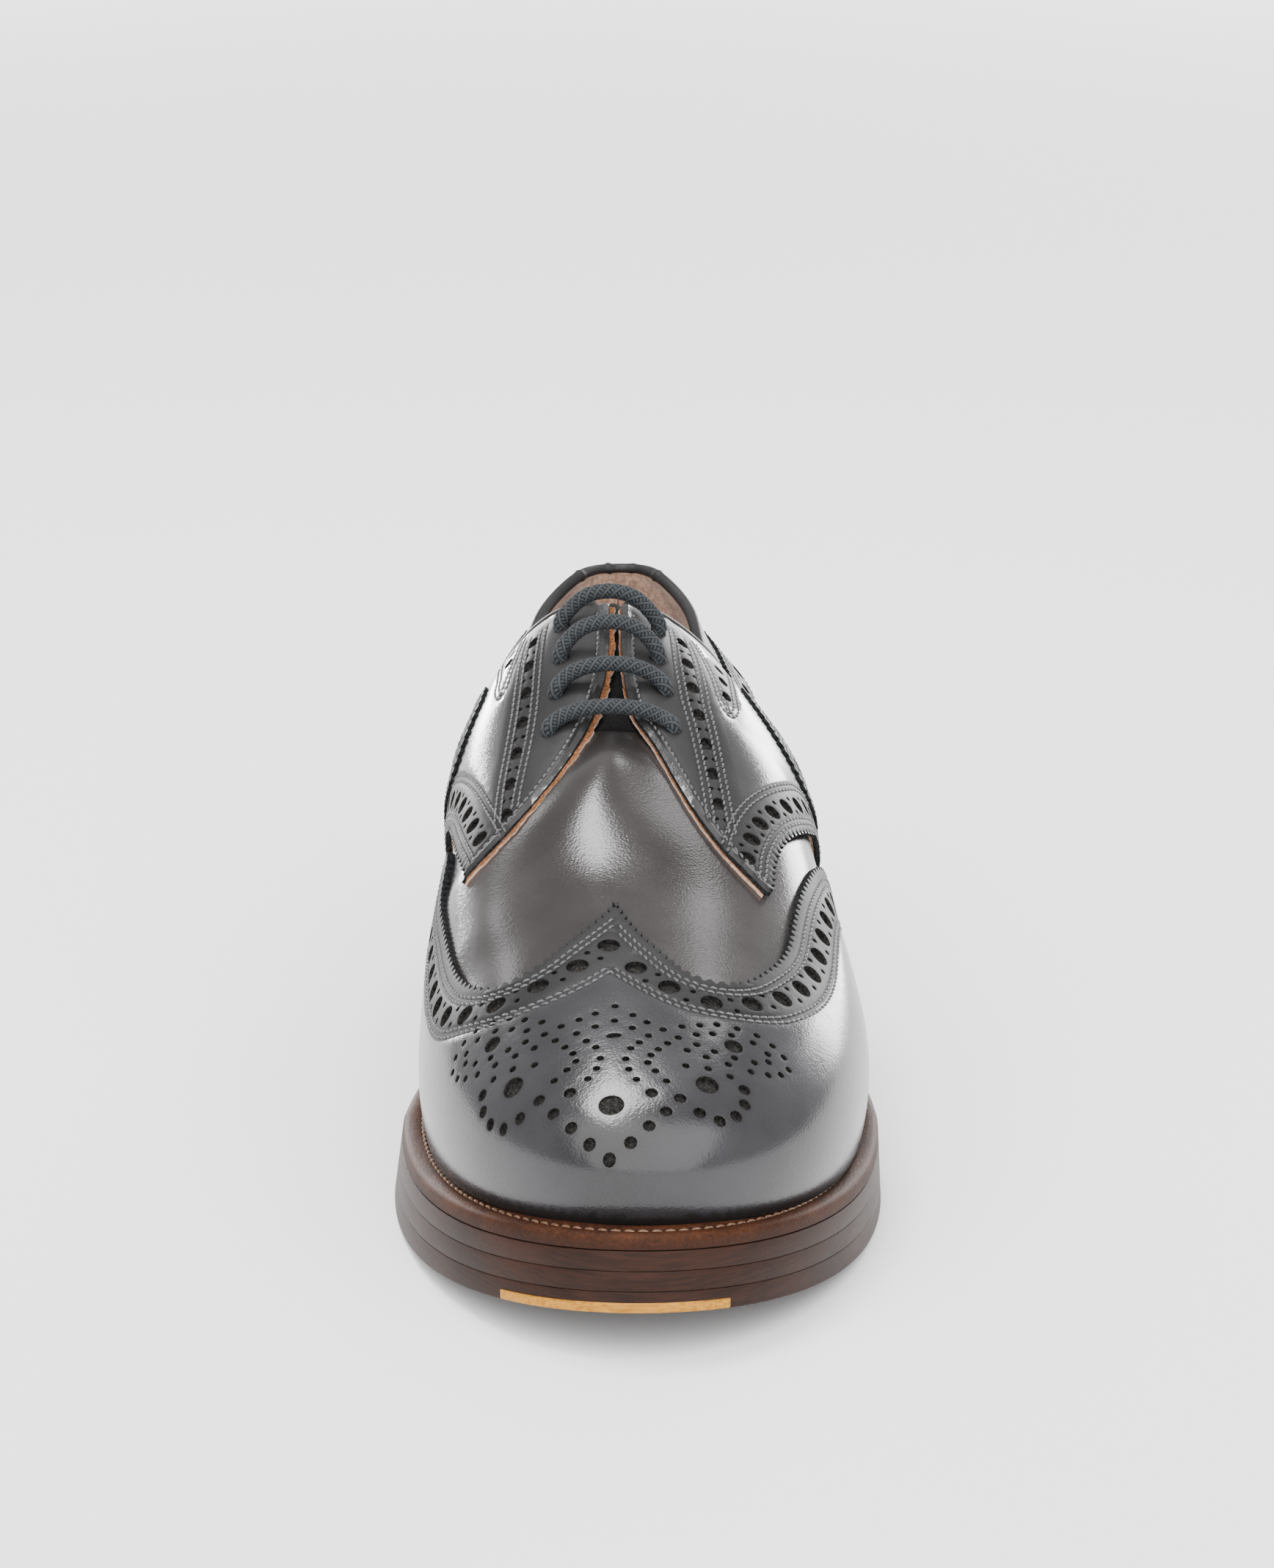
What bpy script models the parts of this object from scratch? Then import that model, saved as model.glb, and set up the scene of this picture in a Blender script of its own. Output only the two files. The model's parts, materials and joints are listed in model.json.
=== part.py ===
"""Full brogue derby, left shoe, standing empty on its sole.

The frame: toe to -Y, lateral side to +X, floor at z = 0.  Tables are in
millimetres and stations run from the back of the heel (0) to the toe (306).
One function, the last, gives the upper's outer face; the wing cap, the
quarters, the counter and the tongue are cut from that same function.
"""
import math

import bmesh
import bpy
import numpy as np
from mathutils import Vector

MM = 0.001

# Driving dimensions, millimetres
SOLE_LENGTH = 306.0
AXIS_SHIFT = -5.0
FOREFOOT_HEIGHT = 18.0
HEEL_PITCH = 22.0
TOE_SPRING = 9.0
SPRING_START = 208.0
SOLE_TOE_ROUND = 205.0
SOLE_HEEL_ROUND = 36.0
LAYER_GAP = 0.3
EDGE_STEP_MEDIAL, EDGE_STEP_LATERAL = 2.1, 0.8
WELT_THICKNESS = 3.6
MIDSOLE_THICKNESS = 4.3
OUTSOLE_THICKNESS = 4.6
HEEL_BREAST = 76.0
HEEL_TAPER = 0.97
TOP_PIECE_THICKNESS = 6.0
TOE_PLATE_THICKNESS = 2.0
TOE_PLATE_STATION = 295.0
TOE_PLATE_TURN = math.radians(-11.0)
INSOLE_THICKNESS = 3.0
INSOLE_INSET = 2.3

LAST_HEEL, LAST_TOE = 6.0, 298.5
TOE_ROUND, HEEL_ROUND = 205.0, 39.0
TOE_DROP, TOE_DROP_POWER = 222.0, 2.6
TOE_FOOT = 250.0
SOFTENING = 0.4
BACK_LEAN, BACK_LEAN_START, BACK_LEAN_END = 4.5, 62.0, 60.0
WAIST_HEIGHT, WAIST_SPAN = 81.5, 10.0

UPPER_WALL = 1.7
OVERLAY_GAP = 0.8
OVERLAY_THICKNESS = 1.4
WELT_CLEARANCE = 2.0
COUNTER_LIFT = 0.2
SLOT_START, SLOT_END, SLOT_HALF = 109.0, 150.0, 1.8
TONGUE_GAP = 1.2
TONGUE_THICKNESS = 2.0
TONGUE_HALF = 19.0
TONGUE_START, TONGUE_END = 108.0, 160.0
LACE_RADIUS = 1.5
LACE_CROWN = 5.3
EYELET_RADIUS = 2.4

# Sections of the last: half width and centre at the fullest line (equator),
# its height over the feather, the ridge's height, the curve's fullness on each
# side, and how far the feather edge is drawn in
SECTION_COLUMNS = ("station", "centre", "half_width", "equator", "ridge",
                   "full_lateral", "full_medial", "inset")
SECTIONS = (
    (0.0, 1.5, 32.0, 22.0, 105.0, 1.25, 1.25, 3.0),
    (30.0, 1.5, 32.5, 22.0, 105.0, 1.25, 1.25, 3.0),
    (60.0, 1.5, 33.0, 23.0, 106.5, 1.18, 1.30, 4.0),
    (80.0, 1.8, 34.5, 25.0, 110.0, 1.16, 1.38, 6.0),
    (100.0, 2.2, 37.5, 27.0, 112.5, 1.20, 1.60, 7.5),
    (120.0, 2.8, 41.0, 29.0, 108.0, 1.47, 2.00, 7.5),
    (150.0, 4.4, 43.6, 28.0, 96.0, 2.12, 2.26, 6.0),
    (180.0, 4.9, 46.9, 22.0, 84.0, 2.25, 2.25, 3.5),
    (205.0, 6.2, 49.0, 15.0, 75.2, 2.15, 2.15, 2.0),
    (230.0, 6.3, 49.4, 12.0, 68.0, 2.15, 2.15, 1.5),
    (260.0, 6.3, 50.0, 11.0, 62.5, 2.20, 2.20, 1.5),
    (298.5, 6.0, 51.0, 11.0, 59.0, 2.20, 2.20, 1.5),
)
# Share of the width that the collar is drawn in by, at its narrowest height
WAIST_COLUMNS = ("station", "lateral", "medial")
WAIST = ((0.0, 0.168, 0.09), (60.0, 0.168, 0.09), (80.0, 0.12, 0.06), (100.0, 0.055, 0.025), (118.0, 0.0, 0.0),
         (299.0, 0.0, 0.0))
SOLE_COLUMNS = ("station", "medial", "lateral")
SOLE_OUTLINE = (
    (36.0, 33.0, 36.0), (60.0, 32.5, 35.5), (80.0, 31.5, 36.0), (100.0, 31.5, 38.0),
    (130.0, 35.0, 45.0), (160.0, 41.5, 53.0), (190.0, 48.6, 59.4), (205.0, 50.6, 60.6),
)
# Height of the collar's edge by station
TOPLINE = ((6.0, 95.5), (13.0, 95.5), (25.0, 92.5), (45.0, 87.5), (60.0, 85.0), (74.0, 84.5),
           (83.0, 87.5), (90.0, 92.0), (97.0, 99.0), (103.0, 106.5), (109.0, 110.6))
# Quarter's front edge: station and arc from the ridge line
FACING_LATERAL = ((109.0, 2.0), (130.0, 2.2), (146.0, 3.4), (156.0, 6.0), (168.0, 12.0),
                  (180.0, 18.6), (192.0, 26.0), (200.0, 34.5))
FACING_MEDIAL = ((109.0, 2.0), (130.0, 2.2), (146.0, 3.4), (156.0, 6.2), (168.0, 13.2),
                 (176.0, 19.5), (181.5, 26.5), (185.0, 37.5))
# Quarter's lower edge: station and arc up from the feather
ARCH_LATERAL = ((132.0, 2.0), (136.0, 22.0), (142.0, 37.0), (150.0, 47.5), (163.0, 55.0),
                (180.0, 59.0), (200.0, 58.0))
ARCH_MEDIAL = ((122.0, 2.0), (126.0, 20.0), (133.0, 34.0), (144.0, 43.0), (160.0, 48.5),
               (175.0, 51.0), (185.0, 51.5))
QUARTER_COLUMNS = 12
# Wing cap's edge, from the feather at one wing's end to the point on the
# ridge: station and arc up from the feather, with the station of the feather
# that the strip runs down to
WING_COLUMNS = ("station", "height", "foot_station")
WING_LATERAL = ((148.0, 2.5, 148.0), (153.0, 22.0, 151.0), (159.0, 36.0, 155.0), (167.0, 45.0, 161.0),
                (178.0, 49.5, 171.0), (192.0, 50.5, 186.0), (207.0, 50.3, 203.0), (221.0, 50.0, 221.0),
                (232.0, 51.6, 240.0), (239.5, 54.8, 255.0), (242.2, 60.0, 267.0), (241.0, 65.3, 276.0),
                (235.0, 73.0, 285.0), (225.0, 83.0, 294.0), (216.0, 88.4, 298.5))
WING_MEDIAL = ((142.0, 2.5, 142.0), (147.0, 18.0, 145.0), (154.0, 32.0, 150.0), (163.0, 39.5, 158.0),
               (176.0, 41.2, 171.0), (190.0, 40.2, 187.0), (206.0, 39.9, 205.0), (222.0, 41.0, 224.0),
               (232.0, 44.0, 240.0), (237.0, 48.5, 254.0), (236.5, 54.0, 266.0), (231.0, 63.6, 279.0),
               (223.0, 73.4, 291.0), (216.0, 80.2, 298.5))
# Counter: station, arc up from the feather to its lower and its upper edge; it ends in a point each side
COUNTER_COLUMNS = ("station", "low", "high")
COUNTER_LATERAL = ((6.0, 2.0, 50.0), (20.0, 2.0, 47.0), (40.0, 2.0, 41.0), (60.0, 2.0, 37.0), (75.0, 2.0, 39.0),
                   (85.0, 2.0, 46.0), (95.0, 2.0, 55.5), (105.0, 2.0, 63.0), (113.0, 2.0, 65.5),
                   (121.0, 2.0, 64.0), (127.0, 20.0, 61.6), (132.0, 36.0, 58.0), (138.5, 47.0, 47.4))
COUNTER_MEDIAL = ((6.0, 2.0, 50.0), (20.0, 2.0, 47.0), (40.0, 2.0, 41.0), (60.0, 2.0, 37.0), (75.0, 2.0, 39.5),
                  (85.0, 2.0, 47.0), (95.0, 2.0, 57.0), (105.0, 2.0, 64.0), (110.0, 2.0, 65.5),
                  (115.0, 8.0, 65.0), (121.0, 28.0, 63.0), (127.0, 40.0, 58.6), (133.0, 49.5, 49.9))
# Eyelets: station and arc from the ridge line
EYELETS = ((113.0, 13.2), (126.7, 13.5), (140.0, 14.7), (153.2, 16.2))

COLOURS = {
    "upper": ((0.115, 0.105, 0.108), 0.30, 0.0), "overlay": ((0.085, 0.078, 0.081), 0.30, 0.0),
    "tongue": ((0.10, 0.092, 0.095), 0.35, 0.0), "lining": ((0.32, 0.17, 0.09), 0.85, 0.0),
    "welt": ((0.22, 0.11, 0.06), 0.55, 0.0), "sole": ((0.075, 0.040, 0.030), 0.45, 0.0),
    "rubber": ((0.03, 0.027, 0.026), 0.75, 0.0), "brass": ((0.80, 0.52, 0.22), 0.30, 1.0),
    "lace": ((0.085, 0.09, 0.10), 0.85, 0.0),
}


def spline(pairs):
    """Natural cubic through (x, y) pairs, as a function of arrays."""
    xs, ys = (np.array(column, float) for column in zip(*pairs))
    count = len(xs)
    step = np.diff(xs)
    matrix, right = np.eye(count), np.zeros(count)
    for i in range(1, count - 1):
        matrix[i, i - 1:i + 2] = step[i - 1], 2 * (step[i - 1] + step[i]), step[i]
        right[i] = 3 * ((ys[i + 1] - ys[i]) / step[i] - (ys[i] - ys[i - 1]) / step[i - 1])
    curve = np.linalg.solve(matrix, right)
    cubic = np.diff(curve) / (3 * step)
    slope = np.diff(ys) / step - step * (2 * curve[:-1] + curve[1:]) / 3

    def value(x):
        x = np.asarray(x, float)
        i = np.clip(np.searchsorted(xs, x) - 1, 0, count - 2)
        t = x - xs[i]
        return ys[i] + t * (slope[i] + t * (curve[i] + t * cubic[i]))
    return value


def line(pairs):
    """Straight runs through (x, y) pairs, as a function of arrays."""
    xs, ys = (np.array(column, float) for column in zip(*pairs))
    return lambda x: np.interp(x, xs, ys)


CENTRE, HALF_WIDTH, EQUATOR, RIDGE, FULL_LATERAL, FULL_MEDIAL, INSET = (
    spline([(row[0], row[k]) for row in SECTIONS]) for k in range(1, len(SECTION_COLUMNS)))
SOLE_MEDIAL, SOLE_LATERAL = (spline([(row[0], row[k]) for row in SOLE_OUTLINE]) for k in (1, 2))
COLLAR = spline(TOPLINE)
WAIST_LATERAL, WAIST_MEDIAL = (line([(row[0], row[k]) for row in WAIST]) for k in (1, 2))


def ease(t):
    t = np.clip(t, 0.0, 1.0)
    return t * t * t * (t * (6 * t - 15) + 10)


def seat_height(station):
    """Top of the sole: level heel seat, the waist's ramp, forefoot and toe spring."""
    spring = np.clip((station - SPRING_START) / (LAST_TOE - SPRING_START), 0.0, None) ** 2
    return FOREFOOT_HEIGHT + HEEL_PITCH * (1 - ease((station - 45.0) / 155.0)) + TOE_SPRING * spring


def end_round(station, heel, heel_round, toe_round, toe):
    ahead = np.clip((station - toe_round) / (toe - toe_round), 0, 1)
    behind = np.clip((heel_round - station) / (heel_round - heel), 0, 1)
    return np.sqrt(np.clip((1 - ahead ** 2) * (1 - behind ** 2), 0, 1))


def last_ends(station):
    return end_round(station, LAST_HEEL, HEEL_ROUND, TOE_ROUND, LAST_TOE)


def ridge_x(station):
    return CENTRE(station) * (1 - last_ends(station))


def reach(station, side):
    return last_ends(station) * (HALF_WIDTH(station) + side * CENTRE(station))


def crown(station):
    t = np.clip((station - TOE_DROP) / (LAST_TOE - TOE_DROP), 0, 1)
    drop = np.sqrt(np.clip(1 - t ** TOE_DROP_POWER, 0, 1))
    return (RIDGE(station) - seat_height(station) - EQUATOR(station)) * drop


def station_at(turn):
    """Station on the equator for a turn from the back (0) to the toe (1)."""
    return LAST_HEEL + (LAST_TOE - LAST_HEEL) * (1 - np.cos(np.pi * turn)) / 2


def turn_at(station):
    return np.arccos(np.clip(1 - 2 * (station - LAST_HEEL) / (LAST_TOE - LAST_HEEL), -1, 1)) / np.pi


def equator(turn, side):
    station = station_at(turn)
    return np.stack([ridge_x(station) + side * reach(station, side), station], -1)


def inward_normal(turn, side):
    """Unit normal of the equator's plan, pointing into the shoe."""
    near = 1e-4
    along = equator(np.clip(turn + near, 0, 1), side) - equator(np.clip(turn - near, 0, 1), side)
    tip = (turn < 2 * near) | (turn > 1 - 2 * near)
    along[..., 0] = np.where(tip, np.where(turn < 0.5, side, -side), along[..., 0])
    along[..., 1] = np.where(tip, 0, along[..., 1])
    along /= np.linalg.norm(along, axis=-1, keepdims=True)
    return np.stack([-side * along[..., 1], side * along[..., 0]], -1)


def rays(turn, side, dome=48, skirt=12):
    """Profiles of the last from the ridge over the equator to the feather.

    The shape is (..., points, 3), in x, station and height."""
    turn, side = np.broadcast_arrays(np.asarray(turn, float), np.asarray(side, float))
    rim = equator(turn, side)
    foot_station = np.minimum(rim[..., 1], TOE_FOOT)
    foot = np.stack([ridge_x(foot_station), foot_station], -1)
    out = np.sin(np.linspace(0, math.pi / 2, dome))
    plan = foot[..., None, :] + out[:, None] * (rim - foot)[..., None, :]
    station, hand = plan[..., 1], side[..., None]
    across = np.abs(plan[..., 0] - ridge_x(station)) / np.maximum(reach(station, hand), 1e-9)
    across = np.where(rim[..., None, 1] <= TOE_FOOT, out, np.clip(across, 0, 1))
    full = np.where(hand > 0, FULL_LATERAL(station), FULL_MEDIAL(station))
    soft = SOFTENING * np.clip(2.0 - full, 0, None)
    rise = (1 - across ** full) ** (1 / full) * (np.sqrt(1 + soft ** 2) - soft)
    height = seat_height(station) + EQUATOR(station) + crown(station) * np.sqrt(rise ** 2 + 2 * rise * soft)
    lean = BACK_LEAN * np.clip((height - BACK_LEAN_START) / 34.0, 0, None) ** 1.5
    drawn = np.where(hand > 0, WAIST_LATERAL(station), WAIST_MEDIAL(station))
    drawn = 1 - drawn * np.exp(-((height - WAIST_HEIGHT) / WAIST_SPAN) ** 2)
    across = ridge_x(station) + (plan[..., 0] - ridge_x(station)) * drawn
    upper = np.stack([across, station + lean * (1 - ease(station / BACK_LEAN_END)), height], -1)
    inward = inward_normal(turn, side)
    down = np.linspace(0, 1, skirt + 1)[1:]
    low = rim[..., None, :] + inward[..., None, :] * (INSET(rim[..., None, 1]) * down ** 2)[..., None]
    drop = seat_height(rim[..., None, 1]) + EQUATOR(rim[..., None, 1]) * (1 - down)
    return np.concatenate([upper, np.concatenate([low, drop[..., None]], -1)], -2)


def arcs(profile):
    """Running length of each profile from the ridge."""
    step = np.linalg.norm(np.diff(profile, axis=-2), axis=-1)
    return np.concatenate([np.zeros(step.shape[:-1] + (1,)), np.cumsum(step, -1)], -1)


def along_ray(turn, side, arc):
    """Points of the last at an arc from the ridge along each ray."""
    profile = rays(turn, side)
    run = arcs(profile)
    arc = np.clip(np.broadcast_to(arc, run.shape[:-1]), 0, run[..., -1])
    k = np.clip((run < arc[..., None]).sum(-1) - 1, 0, run.shape[-1] - 2)
    lo, hi = (np.take_along_axis(run, (k + d)[..., None], -1)[..., 0] for d in (0, 1))
    a, b = (np.take_along_axis(profile, (k + d)[..., None, None], -2)[..., 0, :] for d in (0, 1))
    return a + (b - a) * ((arc - lo) / np.maximum(hi - lo, 1e-9))[..., None]


def ray_length(station, side):
    return arcs(rays(turn_at(station), side))[..., -1]


def arc_at_height(station, side, height):
    """Arc from the ridge at which a ray comes down to a height."""
    profile = rays(turn_at(station), side)
    run = arcs(profile)
    return np.array([np.interp(-h, -p[:, 2], r) for h, p, r in zip(height, profile, run)])


# Columns of the quarters and the counter from the back seam forwards
REAR_TURNS = np.concatenate([[0.0], np.linspace(turn_at(LAST_HEEL + 0.02), turn_at(100.0), 11),
                             turn_at(np.array([105.5, SLOT_START, 115.0, 121.0, 127.0, 132.0]))])
FAN = np.linspace(turn_at(TOE_FOOT), 1.0, 200)


def fan_bearing(turn, side):
    """Pattern bearing of a ray ahead of the toe's foot: 0 across, a right angle at the tip."""
    foot = np.array([ridge_x(TOE_FOOT), TOE_FOOT])
    tip = equator(np.array(1.0), side) - foot

    def off_tip(t):
        ray = equator(t, side) - foot
        cosine = (ray @ tip) / np.linalg.norm(ray, axis=-1) / np.linalg.norm(tip)
        return np.arccos(np.clip(cosine, -1, 1))
    return (1 - off_tip(np.maximum(turn, FAN[0])) / off_tip(FAN[0])) * math.pi / 2


def flat_to_last(flat, side):
    """Pattern coordinates (arc to the side, station; polar ahead of the toe's foot) to the last."""
    arc, station = flat[..., 0], flat[..., 1]
    ahead = station > TOE_FOOT
    own = np.arctan2(station - TOE_FOOT, np.maximum(arc, 1e-9))
    turn = np.where(ahead, np.interp(own, fan_bearing(FAN, side), FAN), turn_at(np.minimum(station, TOE_FOOT)))
    return along_ray(turn, side, np.where(ahead, np.hypot(arc, station - TOE_FOOT), arc))


def flat_of(station, side, arc):
    """Pattern coordinates of a place on the ray that ends at an equator station."""
    bearing = fan_bearing(turn_at(station), side)
    return np.stack([arc * np.cos(bearing), np.minimum(station, TOE_FOOT) + arc * np.sin(bearing)], -1)


def place(points):
    """Table coordinates (x, station, height) to the part's metres."""
    return np.stack([points[..., 0] + AXIS_SHIFT, SOLE_LENGTH / 2 - points[..., 1], points[..., 2]], -1) * MM


def material(kind):
    mat = bpy.data.materials.get(kind)
    if mat is None:
        colour, rough, metal = COLOURS[kind]
        mat = bpy.data.materials.new(kind)
        mat.use_nodes = True
        shader = mat.node_tree.nodes["Principled BSDF"]
        shader.inputs["Base Color"].default_value = (*colour, 1.0)
        shader.inputs["Roughness"].default_value = rough
        shader.inputs["Metallic"].default_value = metal
    return mat


def add_object(name, bm, kind):
    bmesh.ops.recalc_face_normals(bm, faces=bm.faces)
    mesh = bpy.data.meshes.new(name)
    bm.to_mesh(mesh)
    bm.free()
    obj = bpy.data.objects.new(name, mesh)
    bpy.context.scene.collection.objects.link(obj)
    mat = material(kind).copy()
    mat.name = f"{name}_{kind}"
    mesh.materials.append(mat)
    return obj


def sheet(grids):
    """Open mesh from grids of placed points, welded where they share an edge."""
    bm = bmesh.new()
    for grid in grids:
        rows = [[bm.verts.new(point) for point in row] for row in grid]
        for a, b in zip(rows, rows[1:]):
            for i in range(len(a) - 1):
                bm.faces.new((a[i], a[i + 1], b[i + 1], b[i]))
    bmesh.ops.remove_doubles(bm, verts=bm.verts, dist=2e-5)
    bmesh.ops.dissolve_degenerate(bm, edges=bm.edges, dist=2e-5)
    bmesh.ops.recalc_face_normals(bm, faces=bm.faces)
    bm.normal_update()
    return bm


def face_out(bm, centre):
    """Turn an open sheet so that its faces look away from a point."""
    vote = sum((f.calc_center_median() - centre).dot(f.normal) * f.calc_area() for f in bm.faces)
    if vote < 0:
        bmesh.ops.reverse_faces(bm, faces=bm.faces)
    bm.normal_update()


def lasted_solid(name, grids, kind, lift, thickness, offset):
    """A sheet on the last, lifted along its normals and given a wall."""
    bm = sheet(grids)
    face_out(bm, Vector(place(np.array([3.0, 150.0, 30.0]))))
    for vert, shift in [(v, v.normal * lift * MM) for v in bm.verts]:
        vert.co += shift
    mesh = bpy.data.meshes.new(name)
    bm.to_mesh(mesh)
    bm.free()
    obj = bpy.data.objects.new(name, mesh)
    bpy.context.scene.collection.objects.link(obj)
    mat = material(kind).copy()
    mat.name = f"{name}_{kind}"
    mesh.materials.append(mat)
    wall = obj.modifiers.new("wall", "SOLIDIFY")
    wall.thickness = thickness * MM
    wall.offset = offset
    wall.use_even_offset = True
    return obj


def plate(low, high, start, end, rows, grow=0.0, taper=1.0, ends=None, across=3, narrow=(0.0, 0.0)):
    """Closed slab with the sole's outline between two height functions.

    Ahead of the heel it is narrower by the medial and the lateral part of narrow."""
    heel, toe = ends or (0.0, SOLE_LENGTH)
    turn = np.linspace(0, 1, rows)
    station = start + (end - start) * (1 - np.cos(np.pi * turn)) / 2
    round_off = end_round(station, heel, SOLE_HEEL_ROUND, SOLE_TOE_ROUND, toe)
    body = np.clip(station, SOLE_HEEL_ROUND, SOLE_TOE_ROUND)
    ahead = ease((station - HEEL_BREAST) / 70.0)
    medial, lateral = SOLE_MEDIAL(body) - narrow[0] * ahead, SOLE_LATERAL(body) - narrow[1] * ahead
    half = np.maximum((lateral + medial) / 2 * round_off + grow, 0.0)
    middle = (lateral - medial) / 2
    bm = bmesh.new()
    faces = []
    for level, scale in ((low, taper), (high, 1.0)):
        grid = [[bm.verts.new(place(np.array([m + h * scale * j, s, float(level(s))])))
                 for j in np.linspace(-1, 1, across)] for s, h, m in zip(station, half, middle)]
        faces.append(grid)
    bottom, top = faces
    for a, b in zip(range(rows - 1), range(1, rows)):
        for i in range(across - 1):
            bm.faces.new((top[a][i], top[a][i + 1], top[b][i + 1], top[b][i]))
            bm.faces.new((bottom[a][i], bottom[b][i], bottom[b][i + 1], bottom[a][i + 1]))
        for i in (0, across - 1):
            bm.faces.new((bottom[a][i], bottom[b][i], top[b][i], top[a][i]))
    for a in (0, rows - 1):
        for i in range(across - 1):
            bm.faces.new((bottom[a][i], bottom[a][i + 1], top[a][i + 1], top[a][i]))
    bmesh.ops.remove_doubles(bm, verts=bm.verts, dist=2e-5)
    bmesh.ops.dissolve_degenerate(bm, edges=bm.edges, dist=2e-5)
    loose = [f for f in bm.faces if f.calc_area() < 1e-12]
    bmesh.ops.delete(bm, geom=loose, context="FACES")
    return bm


def build_sole():
    """Welt, two midsoles, outsole with its toe plate, and the heel."""
    level = LAYER_GAP
    layers = (("welt", WELT_THICKNESS, "welt", 1.0), ("midsole_upper", MIDSOLE_THICKNESS, "sole", 0.67),
              ("midsole_lower", MIDSOLE_THICKNESS, "sole", 0.33), ("outsole", OUTSOLE_THICKNESS, "sole", 0.0))
    made = {}
    for name, thick, kind, share in layers:
        top, bottom = level, level + thick
        bm = plate(lambda s, d=bottom: seat_height(s) - d, lambda s, d=top: seat_height(s) - d,
                   0.0, SOLE_LENGTH, 30, narrow=(EDGE_STEP_MEDIAL * share, EDGE_STEP_LATERAL * share))
        made[name] = add_object(name, bm, kind)
        level = bottom + LAYER_GAP
    under = level - LAYER_GAP

    def plate_cutter(name, clearance):
        """Toe-plate slab: the sole's outline ahead of a slanted line."""
        bm = plate(lambda s: seat_height(s) - under - 3.0 * (clearance > 0),
                   lambda s: seat_height(s) - under + TOE_PLATE_THICKNESS + clearance,
                   270.0, SOLE_LENGTH + 3.0 * (clearance > 0), 18,
                   grow=3.0 * (clearance > 0), ends=(0.0, SOLE_LENGTH))
        across = Vector((math.sin(TOE_PLATE_TURN), -math.cos(TOE_PLATE_TURN), 0.0))
        point = Vector(place(np.array([0.0, TOE_PLATE_STATION - clearance, 0.0])))
        geom = bm.verts[:] + bm.edges[:] + bm.faces[:]
        cut = bmesh.ops.bisect_plane(bm, geom=geom, plane_co=point, plane_no=across, clear_inner=True)
        edges = [e for e in cut["geom_cut"] if isinstance(e, bmesh.types.BMEdge)]
        bmesh.ops.holes_fill(bm, edges=edges, sides=0)
        return add_object(name, bm, "brass")

    plate_cutter("toe_plate", 0.0)
    recess = plate_cutter("toe_recess_cutter", LAYER_GAP)
    cut_with(made["outsole"], recess)

    def heel_top(s):
        return seat_height(s) - under - LAYER_GAP

    stack = plate(lambda s: TOP_PIECE_THICKNESS + LAYER_GAP, heel_top, 0.0, HEEL_BREAST, 16,
                  taper=HEEL_TAPER, ends=(0.0, SOLE_LENGTH))
    add_object("heel_stack", stack, "sole")
    top_piece = plate(lambda s: 0.0, lambda s: TOP_PIECE_THICKNESS, 1.0, HEEL_BREAST - 0.8, 16,
                      grow=-1.0, ends=(1.0, SOLE_LENGTH))
    add_object("heel_top_piece", top_piece, "rubber")


def cut_with(obj, cutter):
    """EXACT difference with a cutter kept in its own hidden collection."""
    group = bpy.data.collections.get("cutters")
    if group is None:
        group = bpy.data.collections.new("cutters")
        bpy.context.scene.collection.children.link(group)
    if cutter.name not in group.objects:
        for owner in list(cutter.users_collection):
            owner.objects.unlink(cutter)
        group.objects.link(cutter)
    cutter.hide_render = True
    cutter.display_type = "WIRE"
    cut = obj.modifiers.new("cut", "BOOLEAN")
    cut.operation = "DIFFERENCE"
    cut.solver = "EXACT"
    cut.object = cutter


def build_insole():
    """Flat lining sock inside the upper, on the welt's level."""
    turn = np.linspace(0, 1, 26)
    edges = []
    for side in (1.0, -1.0):
        edge = rays(turn, side)[:, -1, :]
        edge[:, :2] += inward_normal(turn, np.full_like(turn, side)) * INSOLE_INSET
        edge[:, 2] = seat_height(edge[:, 1]) + LAYER_GAP
        edges.append(edge)
    for tip in (0, -1):
        edges[0][tip] = edges[1][tip]
    bm = sheet([place(np.stack([edges[0], (edges[0] + edges[1]) / 2, edges[1]], 1))])
    face_out(bm, Vector((0.0, 0.0, -1.0)))
    obj = add_object("insole", bm, "lining")
    wall = obj.modifiers.new("wall", "SOLIDIFY")
    wall.thickness = INSOLE_THICKNESS * MM
    wall.offset = 1.0


def top_arc(station, side):
    """Arc from the ridge to the upper's top edge: collar, slot or closed ridge."""
    rear = arc_at_height(station, side, COLLAR(np.minimum(station, SLOT_START)))
    slot = SLOT_HALF * np.sqrt(np.clip((SLOT_END - station) / 10.0, 0, 1))
    return np.where(station < SLOT_START, np.maximum(rear, SLOT_HALF), slot)


def build_upper():
    """Hollow vamp and quarters' base: open at the collar, the throat slot and underneath."""
    turn = np.unique(np.concatenate([REAR_TURNS, np.linspace(turn_at(135.0), 1, 16), turn_at(np.array(
        [SLOT_START - 0.2, SLOT_START + 0.2, SLOT_END - 2.0, SLOT_END]))]))
    rows = np.linspace(0, 1, 14)
    grids = []
    for side in (1.0, -1.0):
        station = station_at(turn)
        top, foot = top_arc(station, side), ray_length(station, side)
        arc = top[:, None] + (foot - top)[:, None] * rows
        grids.append(place(along_ray(np.broadcast_to(turn[:, None], arc.shape), side, arc)))
    return lasted_solid("upper", grids, "upper", 0.0, UPPER_WALL, -1.0)


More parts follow.
